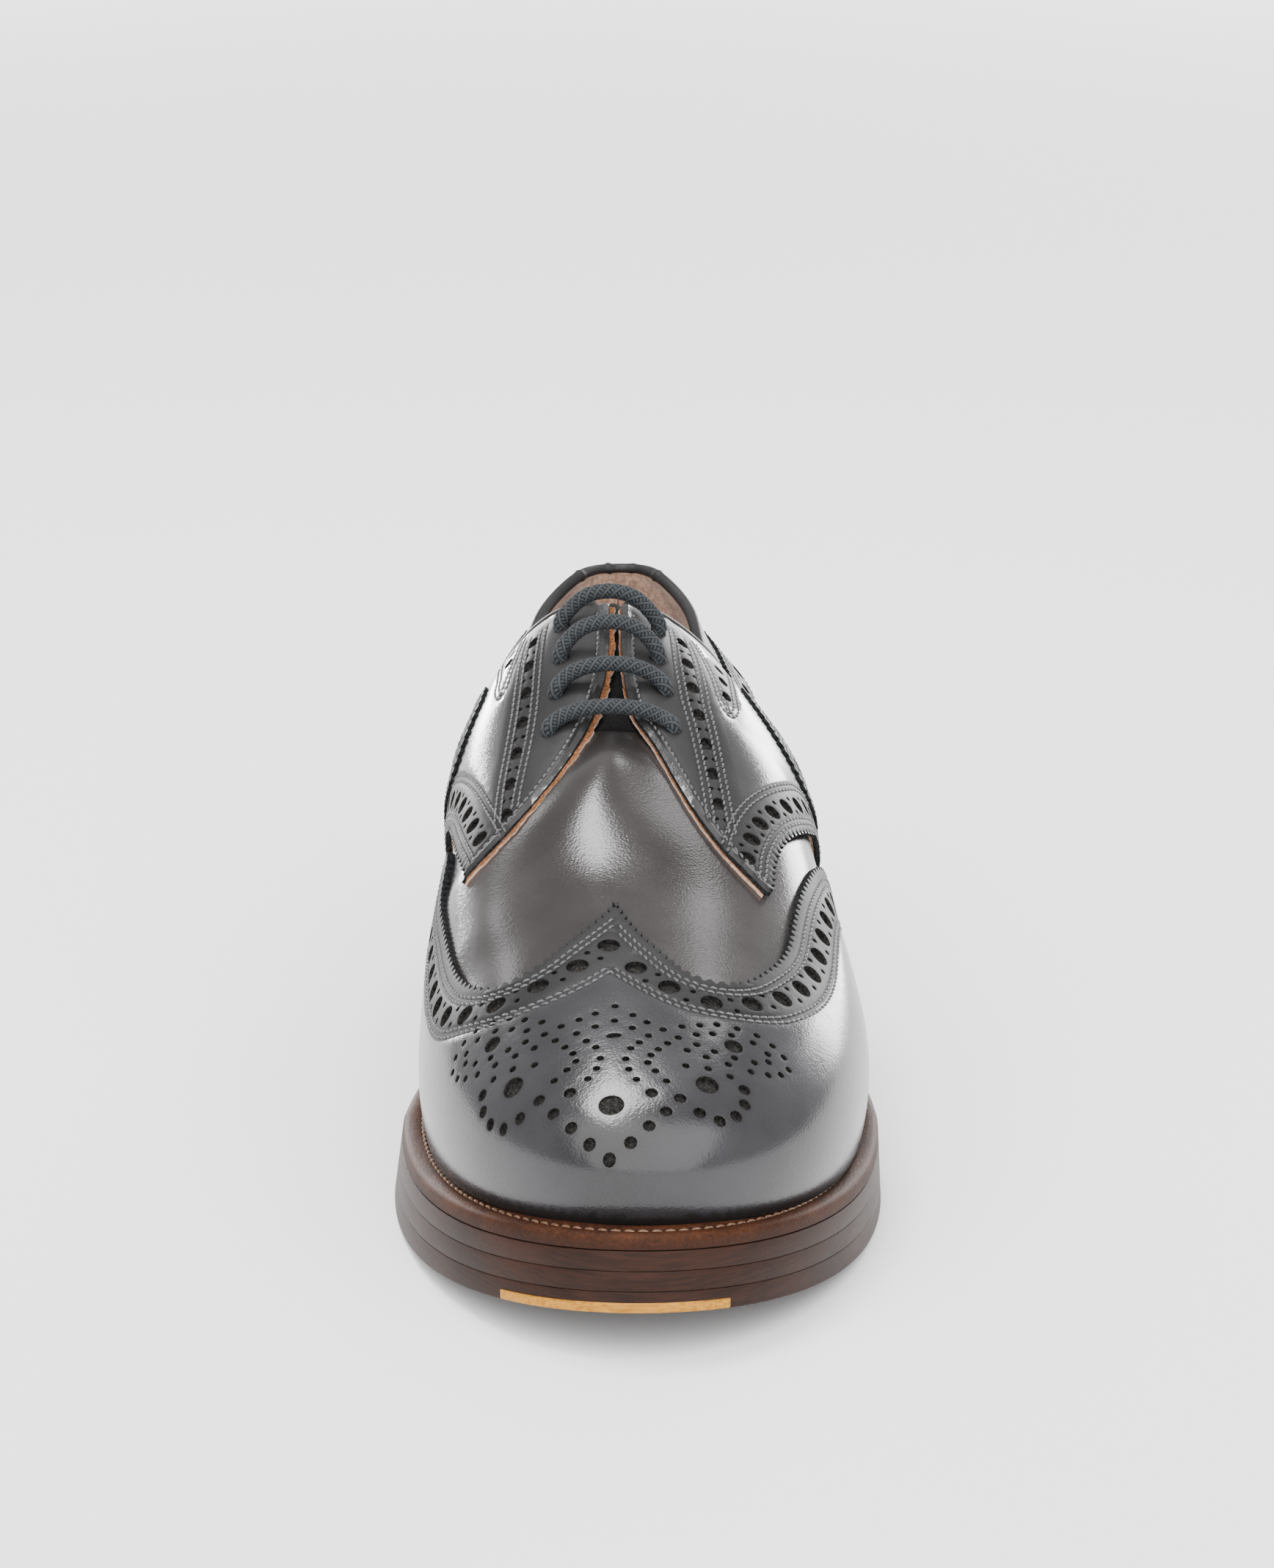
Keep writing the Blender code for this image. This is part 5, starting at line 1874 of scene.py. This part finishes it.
@dataclass
class Lining(Piece):
    """Napped lining in one piece under both quarters, across the back seam."""

    quarters: Sequence[Quarter]
    vamp: Vamp
    low: float = 0.1
    high: float = 0.92
    raw_reach: float = 1.5

    def over_vamp(self, facings: Array, flat: Array) -> Array:
        """Rise of the raw edge where the vamp's creases come up under it.

        Args:
            facings: Points on the last along both facings.
            flat: (N, 2) flat points of the lining.

        Returns:
            The rise of each point.
        """
        side, turn, arc = self.rear.rays(flat)
        rise = self.vamp.creases(np.stack([side * arc, self.rear.last.station_at(turn)], -1))
        near = nearest(self.rear.on_last(flat)[0], facings)
        fade = 1 - ease((near - self.raw_reach) / self.raw_reach)
        return np.clip(rise - 0.3, 0.0, 0.85) * fade

    def build(self) -> None:
        """Cut and lay the lining."""
        rear, robe = self.rear, self.robe
        lateral, medial = (quarter.lining_edge() for quarter in self.quarters)
        outline = np.concatenate([lateral[::-1], medial])
        facings = np.concatenate([rear.on_last(quarter.line(quarter.facing))[0]
                                  for quarter in self.quarters])
        panel = Panel(rear, rear.resample(outline, 1.3, True), self.low, self.high, spacing=3.0,
                      edge_drop=0.05, lift=lambda flat: self.over_vamp(facings, flat))
        self.shop.add("quarter_lining", panel.build(), (robe.tan_edge, robe.suede, robe.pit),
                      "lining_leather")


@dataclass
class Counter(Piece):
    """Heel counter across the back seam, pointed behind each arch, with the strip over the seam."""

    low: float = 2.38
    high: float = 3.25
    # station, arc up from the feather: up the front edge and over the point
    lateral: tuple = ((121.0, 2.0), (127.0, 20.0), (132.5, 36.0), (137.6, 45.6), (137.8, 48.6),
                      (132.0, 58.0), (121.0, 64.0), (114.0, 64.5), (107.0, 58.0))
    medial: tuple = ((113.0, 2.0), (118.0, 20.0), (124.0, 36.0), (131.6, 47.6), (132.0, 50.8),
                     (127.0, 58.6), (121.0, 62.6), (114.0, 63.0), (107.0, 57.0))
    # on from both points to the back seam
    back: tuple = ((100.0, 50.0), (92.0, 43.5), (82.0, 38.5), (70.0, 36.5), (55.0, 37.0),
                   (40.0, 41.0), (20.0, 47.0), (6.05, 50.0))
    strip_half: float = 6.3
    strip_foot: float = 44.0
    strip_low: float = 2.36
    strip_high: float = 3.3
    strip_thread: float = 3.25

    def build(self) -> None:
        """Cut, punch and sew the counter and the back strip."""
        shop, rear, robe = self.shop, self.rear, self.robe
        sides = []
        for side, knots in zip(Side, (self.lateral, self.medial)):
            table = np.array(knots + self.back)
            sides.append(rear.curve(rear.rising(table[:, 0], side, table[:, 1]), 0.8))
        edge = np.concatenate([sides[0], sides[1][::-1]])
        foot = np.concatenate([
            rear.rising(np.linspace(self.medial[0][0], BACK_SEAM, 70), MEDIAL, 2.0),
            rear.rising(np.linspace(BACK_SEAM, self.lateral[0][0], 70), LATERAL, 2.0)])
        outline = np.concatenate([pinked(rear, edge, inward=1.0), rear.resample(foot, 2.5)[1:-1]])
        seams = [rear.inset(edge, gap)[4:-4] for gap in (2.2, 3.7, 11.6, 13.1)]
        seams = [row[inside(row, outline)] for row in seams]
        holes = hole_line(rear, rear.offset(edge, 7.6)[6:-6], 9.5, 4.6, 1.3)
        holes = [hole for hole in holes if inside(np.array([hole.spot]), outline)[0]]
        panel = Panel(rear, outline, self.low, self.high, spacing=2.4, holes=holes, seams=seams,
                      edge_drop=0.12)
        finishes = (robe.band, robe.ink_edge, robe.pit)
        shop.add("counter_leather", panel.build(), finishes, "overlay_leather", ("counter",))
        half, low = self.strip_half, self.strip_foot
        top = float(rear.topline(LATERAL, 4)[0, 1]) - 0.3
        strip = np.array([(half, low), (half, top), (0.0, top), (-half, top), (-half, low), (0.0, low)])
        backing = Panel(rear, rear.resample(strip, 1.2, True), self.strip_low, self.strip_high,
                        spacing=1.8, edge_drop=0.3)
        shop.add("back_strip", backing.build(), finishes, "overlay_leather")
        rows = [(row, self.high - THREAD_SINK) for row in seams]
        rows += [(np.array([(x, low + 2.0), (x, top - 1.5)]), self.strip_thread)
                 for x in (-half + 1.5, half - 1.5)]
        shop.sew("counter_stitching", rear, rows)


@dataclass
class Collar(Piece):
    """Rolled leather edge round the topline."""

    middle: float = 1.3
    half_width: float = 1.5
    half_height: float = 1.15
    seams: tuple = (6.3, 24.0)

    def build(self) -> None:
        """Roll the edge."""
        rear = self.rear
        sides = [rear.resample(rear.topline(side), 0.8) for side in Side]
        line = np.concatenate([sides[0][::-1], sides[1][1:]])
        points, normals = rear.on_last(line)
        for _ in range(6):
            for row in (points, normals):
                row[1:-1] = (row[:-2] + 2 * row[1:-1] + row[2:]) / 4
        normals = unit(normals)
        up = np.cross(unit(np.gradient(points, axis=0)), normals)
        up *= np.sign(up[:, 2].mean())
        swell = np.zeros(len(line))
        for spot in self.seams:
            swell += np.exp(-((np.abs(line[:, 0]) - spot) / 0.9) ** 2)
        angle = np.linspace(0, 2 * math.pi, 14, endpoint=False)
        centre = points + normals * self.middle
        wide = self.half_width * (1 + 0.2 * swell)[:, None, None]
        tall = self.half_height * (1 + 0.35 * swell)[:, None, None]
        rows = centre[:, None] + normals[:, None] * np.cos(angle)[None, :, None] * wide + \
            up[:, None] * np.sin(angle)[None, :, None] * tall
        self.shop.add("collar_binding", loft(rows, wrap=True, caps=True), (self.robe.band,),
                      "overlay_leather", sharp=70.0)


@dataclass
class Laces(Piece):
    """Four parallel bars of round braid over the facings, into the eyelets."""

    quarters: Sequence[Quarter]
    radius: float = 1.9
    surface: float = 2.35
    crowns: tuple = (117.6, 113.6, 106.6, 99.8)
    ring: int = 36
    strands: int = 8
    lay: float = 4.6
    relief: float = 0.36
    sunk: float = 3.2
    proud: float = 0.6
    arch: tuple = (145.0, 124.0, 106.0, 90.0, 74.0, 56.0, 35.0)

    def path(self, bar: int) -> Array:
        """Centre line of one bar.

        Args:
            bar: Number of the bar, from the top.

        Returns:
            (N, 3) knots, from eyelet to eyelet.
        """
        spots = [self.rear.on_last(quarter.spots(quarter.eyelets[bar:bar + 1]))
                 for quarter in self.quarters]
        (first, first_out), (second, second_out) = ((point[0], normal[0]) for point, normal in spots)
        deep, clear = self.surface - self.sunk, self.surface + self.proud
        knots = [first + first_out * deep, first + first_out * clear]
        middle = (first + second) / 2
        span = (second - first) / 2
        for angle in np.radians(self.arch):
            spot = middle + span * math.cos(angle) * 1.04
            height = (self.crowns[bar] - middle[2]) * math.sin(angle) ** 0.8
            knots.append(np.array([spot[0], spot[1], middle[2] + height]))
        knots += [second + second_out * clear, second + second_out * deep]
        return np.array(knots)

    def build(self) -> None:
        """Braid the bars."""
        for bar in range(len(self.crowns)):
            knots = self.path(bar)
            length = running_length(knots)[-1]
            line = through(knots, np.linspace(0, length, int(length / 0.22)))
            even = running_length(line)
            tangent = unit(np.gradient(line, axis=0))
            side = unit(np.array([0.0, 1.0, 0.0]) - tangent * tangent[:, 1:2])
            up = np.cross(tangent, side)
            angle = np.linspace(0, 2 * math.pi, self.ring, endpoint=False)
            turn = even[:, None] / self.lay * 2 * math.pi
            half = self.strands / 2
            one = np.sin(half * angle[None] + turn * half / 2)
            two = np.sin(half * angle[None] - turn * half / 2)
            strand = np.where(two > 0, np.abs(one), np.abs(two)) ** 1.3
            radius = self.radius - self.relief * (1 - strand)
            rows = line[:, None] + radius[..., None] * (
                np.cos(angle)[None, :, None] * side[:, None] + np.sin(angle)[None, :, None] * up[:, None])
            # The strand numbers kept on the mesh set the braid's painted shade in its valleys.
            bm = loft(rows, wrap=True, caps=True, mask=strand, layer="strand")
            self.shop.add(f"lace_braid_{bar + 1}", bm, (self.robe.braid,), "lace_fabric",
                          (f"lace_bar_{bar + 1}",), sharp=75.0)


@dataclass
class Sole(Piece):
    """Welt, two midsoles and outsole with worked edges, the heel, the toe plate and the sock."""

    line: SoleLine = field(default_factory=SoleLine)
    gap: float = 0.3
    layers: tuple = (("midsole_upper", 4.3), ("midsole_lower", 4.3), ("outsole", 4.6))
    welt: float = 3.6
    top_piece: float = 6.0
    taper: float = 0.03
    # share of the height from the top, inset
    lifts: tuple = ((0.0, 0.2), (0.02, 0.0), (0.31, 0.0), (0.33, 0.16), (0.35, 0.0), (0.64, 0.0),
                    (0.66, 0.16), (0.68, 0.0), (0.98, 0.0), (1.0, 0.2))
    tread: tuple = ((0.0, 1.3), (0.05, 1.1), (0.9, 1.1), (1.0, 1.6))
    # inset, drop under the welt's top, share of edge ink and painted shade
    welt_top: tuple = ((10.5, 0.3, 1.0), (8.6, 0.3, 1.0), (8.0, 0.05, 0.85), (7.4, -0.4, 0.35),
                       (6.7, -0.75, 0.1), (6.0, -0.75, 0.05), (5.3, -0.35, 0.2), (4.8, 0.12, 0.6),
                       (4.4, 0.26, 0.7), (4.0, 0.16, 0.45), (3.3, -0.04, 0.05), (2.2, -0.14, 0.0),
                       (1.2, 0.0, 0.0), (0.55, 0.28, 0.05), (0.15, 0.8, 0.2), (0.0, 1.5, 0.35))
    # inset, drop under the welt's foot, share of edge ink and painted shade
    welt_foot: tuple = ((0.0, -0.2, 0.55), (0.15, 0.0, 0.8), (9.5, 0.0, 1.0))
    snug: float = 0.11
    corner: float = 0.12
    inner: float = 9.0
    plate_station: float = 295.0
    plate_turn: float = math.radians(-11.0)
    plate_height: float = 2.4
    seam_inset: float = 4.35
    points: int = 420

    def slab(self, rings: Sequence[tuple[float, float, float]]) -> bmesh.types.BMesh:
        """A layer of the sole.

        Args:
            rings: Inset, drop under the sole line and share of edge ink and painted shade, from top inside
                to bottom inside.

        Returns:
            The closed mesh.
        """
        turns = np.linspace(0, 1, self.points, endpoint=False)
        rows = []
        for inset, drop, _ in rings:
            rim = self.line.rim(turns, inset, drop)
            rows.append(raised(rim, self.line.height(np.clip(rim[:, 1], 0, None)) - drop))
        ink_and_shade = np.array([np.full(self.points, ring[2]) for ring in rings])
        return self._closed(np.array(rows), ink_and_shade)

    def _closed(self, rows: Array, ink_and_shade: Array | None = None) -> bmesh.types.BMesh:
        """Join rings of points into a closed mesh.

        Args:
            rows: (n, m, 3) points, from the top ring to the bottom one.
            ink_and_shade: (n, m) shares of edge ink and painted shade.

        Returns:
            The mesh.
        """
        bm = loft(rows, wrap=True, mask=ink_and_shade)
        for level in (0, -1):
            self._ladder(bm, place(rows[level]))
        bmesh.ops.recalc_face_normals(bm, faces=bm.faces)
        return bm

    def _ladder(self, bm: bmesh.types.BMesh, ring: Array) -> None:
        """Close one ring with rungs from side to side, so that it follows the sole's curve.

        Args:
            bm: The mesh.
            ring: Points of the ring, in metres.
        """
        bm.verts.ensure_lookup_table()
        tree = KDTree(len(bm.verts))
        for vert in bm.verts:
            tree.insert(vert.co, vert.index)
        tree.balance()
        verts = [bm.verts[tree.find(spot)[1]] for spot in ring]
        count = len(verts)
        for i in range(count // 2):
            quad = [verts[i], verts[i + 1], verts[(count - i - 1) % count], verts[(count - i) % count]]
            corners = list(dict.fromkeys(quad))
            if len(corners) > 2:
                bm.faces.new(corners)

    def build(self) -> None:
        """Make the layers, sew the welt and dress the solid that stays."""
        shop, robe = self.shop, self.robe
        low = self.gap + self.welt
        welt = [(inset, level + drop, ink_and_shade)
                for level, table in ((self.gap, self.welt_top), (low, self.welt_foot))
                for inset, drop, ink_and_shade in table]
        shop.add("welt_strip", self.slab(welt), (robe.welt,), "welt_leather", ("welt",))
        drop, top = low + self.gap - self.snug, self.corner
        for name, thick in self.layers:
            deep = drop + thick + 2 * self.snug
            foot = self.corner if name != "outsole" else 2.5 * self.corner
            edge = ((self.inner, drop), (top, drop), (top * 0.3, drop + top * 0.3), (0.0, drop + top),
                    (0.0, deep - foot), (foot * 0.3, deep - foot * 0.3), (foot, deep), (self.inner, deep))
            shop.add(f"{name}_layer", self.slab([(*ring, 0.0) for ring in edge]), (robe.sole,),
                     "sole_leather", (name,))
            drop += thick + self.gap
        self.tip()
        self.sew()
        self.heel()
        shop.dress("insole", robe.sock)

    def heel(self) -> None:
        """Stack the heel's lifts and put the rubber top piece under them."""
        robe = self.robe
        end = math.acos(1 - 2 * self.line.breast / SOLE_LENGTH) / (2 * math.pi)
        turns = np.concatenate([np.linspace(0.0, end, 90), np.linspace(1 - end, 1.0, 90, endpoint=False)])
        rim = self.line.rim(turns)
        above = self.line.height(np.clip(rim[:, 1], 0, None)) - self.line.depth - self.gap
        pieces = (("heel_lifts", "heel_stack", robe.heel, "sole_leather",
                   above, self.top_piece + self.gap, self.lifts),
                  ("heel_rubber_piece", "heel_top_piece", robe.rubber, "heel_rubber",
                   self.top_piece, 0.0, self.tread))
        for name, node, finish, slot, high, low, rings in pieces:
            rows = []
            for share, inset in rings:
                ring = self.line.rim(turns, inset)
                middle = ring[:, 0].mean()
                ring[:, 0] = middle + (ring[:, 0] - middle) * (1 - self.taper * share)
                rows.append(raised(ring, high + (low - high) * share))
            self.shop.add(name, self._closed(np.array(rows)), (finish,), slot, (node,))

    def tip(self) -> None:
        """Let the brass plate into the outsole's front edge."""
        depth = self.line.depth
        rim = self.line.rim(np.linspace(0.36, 0.64, 241), -0.12, depth)
        ahead = (rim[:, 0] * math.sin(self.plate_turn)
                 + (rim[:, 1] - self.plate_station) * math.cos(self.plate_turn))
        rim = rim[ahead > 0]
        base = self.line.height(rim[:, 1]) - depth - 0.06
        bm = bmesh.new()
        sole = bm.faces.new([bm.verts.new(spot) for spot in place(raised(rim, base))])
        lifted = bmesh.ops.extrude_face_region(bm, geom=[sole], use_keep_orig=True)["geom"]
        corners = [item for item in lifted if isinstance(item, bmesh.types.BMVert)]
        bmesh.ops.translate(bm, verts=corners, vec=(0.0, 0.0, self.plate_height * MM))
        bmesh.ops.recalc_face_normals(bm, faces=bm.faces)
        rims = [edge for edge in bm.edges if edge.calc_face_angle(0.0) > 0.8]
        bmesh.ops.bevel(bm, geom=rims, offset=0.25 * MM, segments=2, profile=0.5, affect="EDGES",
                        material=-1)
        self.shop.add("toe_brass_plate", bm, (self.robe.brass,), "brass", ("toe_plate",))

    def sew(self) -> None:
        """Stitch round the welt from waist to waist."""
        thread = Stitching(length=2.5, pitch=2.9, radius=0.42, slant=0.1)
        rim = self.line.rim(np.linspace(0.17, 0.83, 1200), self.seam_inset)
        points = raised(rim, self.line.height(rim[:, 1]) - self.gap - 0.05)
        run = running_length(points)
        even = np.linspace(0, run[-1], int(run[-1] / thread.pitch))
        points = np.stack([np.interp(even, run, column) for column in points.T], -1)
        thread.track(points, np.tile([0.0, 0.0, 1.0], (len(points), 1)))
        self.shop.add("welt_stitching", thread.build(), (self.robe.welt_thread,), "welt_leather")


@dataclass
class Studio:
    """Pale floor, soft boxes and the camera."""

    paper: bpy.types.Material
    distance: float = 1.2
    elevation: float = math.radians(20.5)
    pitch: float = math.radians(16.83)
    yaw: float = math.radians(0.26)
    lens: float = 114.74
    world: float = 0.75
    aim: tuple = (0.0, 0.0, 0.06)
    # name, place, size, radiance
    boxes: tuple = (
        ("back_box_medial", (-1.02, 2.79, 0.24), (1.2, 0.44), 44.0),
        ("back_box_lateral", (1.25, 2.7, 0.48), (1.6, 0.90), 20.0),
        ("top_box", (-0.235, 0.225, 1.55), (0.75, 0.41), 24.0),
        ("front_fill", (0.0, -1.4, 1.5), (4.4, 3.9), 3.2),
        ("glow_medial", (-1.27, 1.75, 1.25), (0.3, 0.3), 4.5),
        ("glow_lateral", (0.70, 1.55, 1.85), (0.35, 0.35), 6.0),
    )

    def light(self, name: str, spot: tuple, size: tuple[float, float], radiance: float) -> None:
        """Hang one soft box.

        Args:
            name: Name of the light.
            spot: Its place.
            size: Width and height.
            radiance: Power for each square metre of its face, over pi.
        """
        lamp = bpy.data.lights.new(name, "AREA")
        lamp.shape = "RECTANGLE"
        lamp.size, lamp.size_y = size
        lamp.energy = radiance * math.pi * size[0] * size[1]
        holder = bpy.data.objects.new(name, lamp)
        bpy.context.scene.collection.objects.link(holder)
        holder.location = spot
        holder.rotation_euler = (Vector(self.aim) - Vector(spot)).to_track_quat("-Z", "Y").to_euler()

    def build(self) -> None:
        """Lay the floor, hang the lights and set the camera."""
        bm = bmesh.new()
        bmesh.ops.create_grid(bm, x_segments=8, y_segments=8, size=6.0)
        mesh = bpy.data.meshes.new("studio_floor")
        bm.to_mesh(mesh)
        bm.free()
        mesh.materials.append(self.paper)
        floor = bpy.data.objects.new("studio_floor", mesh)
        bpy.context.scene.collection.objects.link(floor)
        world = bpy.data.worlds.new("studio")
        bpy.context.scene.world = world
        world.use_nodes = True
        background = world.node_tree.nodes["Background"]
        background.inputs["Color"].default_value = (1.0, 1.0, 1.0, 1.0)
        background.inputs["Strength"].default_value = self.world
        for box in self.boxes:
            self.light(*box)
        camera = bpy.data.cameras.new("camera")
        camera.lens, camera.sensor_fit, camera.sensor_height = self.lens, "VERTICAL", 36.0
        holder = bpy.data.objects.new("camera", camera)
        bpy.context.scene.collection.objects.link(holder)
        holder.location = (AXIS_SHIFT * MM, -self.distance * math.cos(self.elevation),
                           self.distance * math.sin(self.elevation))
        holder.rotation_euler = (math.pi / 2 - self.pitch, 0.0, -self.yaw)
        bpy.context.scene.camera = holder


def make_quarters(shop: Workshop) -> tuple[Quarter, Quarter]:
    """The two quarters' own sizes, as (station, arc) knots.

    Args:
        shop: Workshop that makes them.

    Returns:
        The lateral and the medial quarter.
    """
    lateral = Quarter(
        shop, "quarter_lateral", LATERAL,
        facing=((109.0, 1.2), (125.0, 1.3), (140.0, 2.2), (148.0, 3.4), (152.0, 4.4), (157.0, 6.9),
                (170.4, 12.7), (183.0, 18.2), (194.8, 25.6), (203.2, 34.4)),
        arch=((203.2, 58.0), (199.0, 57.8), (192.0, 58.9), (187.4, 59.1), (179.3, 58.4), (169.8, 55.2),
              (160.0, 50.0), (150.0, 43.5), (142.0, 34.0), (136.0, 21.0), (132.0, 2.0)),
        strip=(((110.0, 13.8), (127.8, 14.6), (158.0, 18.6), (184.9, 21.6)),
               ((110.0, 18.6), (127.8, 20.2), (158.0, 23.3), (187.4, 26.6))),
        eyelets=((117.0, 9.9), (130.2, 9.7), (142.0, 11.3), (155.2, 13.0)),
        loop=((106.0, 20.5), (120.0, 22.8), (133.0, 24.4), (139.5, 25.8), (141.5, 27.4), (139.5, 29.2),
              (130.0, 30.8), (118.0, 32.0), (107.0, 33.6)),
        loop_holes=((115.0, 27.6), (123.5, 27.4), (132.0, 27.4)))
    medial = Quarter(
        shop, "quarter_medial", MEDIAL,
        facing=((109.0, 1.2), (125.0, 1.4), (140.0, 2.6), (147.0, 4.0), (152.0, 5.2), (159.0, 7.6),
                (172.3, 14.4), (182.4, 23.2), (186.6, 31.0), (188.2, 38.1)),
        arch=((188.2, 51.3), (184.0, 51.6), (175.0, 51.2), (160.0, 49.0), (144.0, 43.0), (133.0, 34.0),
              (126.0, 20.0), (122.0, 2.0)),
        strip=(((110.0, 17.0), (127.8, 18.2), (158.0, 20.4), (177.0, 23.0)),
               ((110.0, 21.6), (127.8, 23.0), (158.0, 25.8), (178.5, 27.4))),
        eyelets=((116.0, 12.3), (129.6, 12.4), (142.0, 13.4), (154.6, 14.9)),
        loop=((104.0, 23.4), (113.0, 24.2), (122.0, 25.8), (128.5, 27.3), (130.8, 28.8), (128.5, 30.4),
              (120.0, 31.2), (111.0, 32.2), (104.0, 33.4)),
        loop_holes=((108.5, 27.4), (114.5, 27.8)), raw=1.3, loop_dull=False)
    return lateral, medial


def main() -> None:
    """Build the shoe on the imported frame."""
    logging.basicConfig(level=logging.INFO, format="%(message)s")
    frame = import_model()
    robe = Wardrobe()
    Studio(robe.paper).build()
    shop = Workshop(frame, robe, Last())
    Sole(shop).build()
    vamp = Vamp(shop)
    vamp.build()
    WingCap(shop).build()
    quarters = make_quarters(shop)
    for quarter in quarters:
        quarter.build()
    Lining(shop, quarters, vamp).build()
    Counter(shop).build()
    Collar(shop).build()
    Laces(shop, quarters).build()


if __name__ == "__main__":
    main()
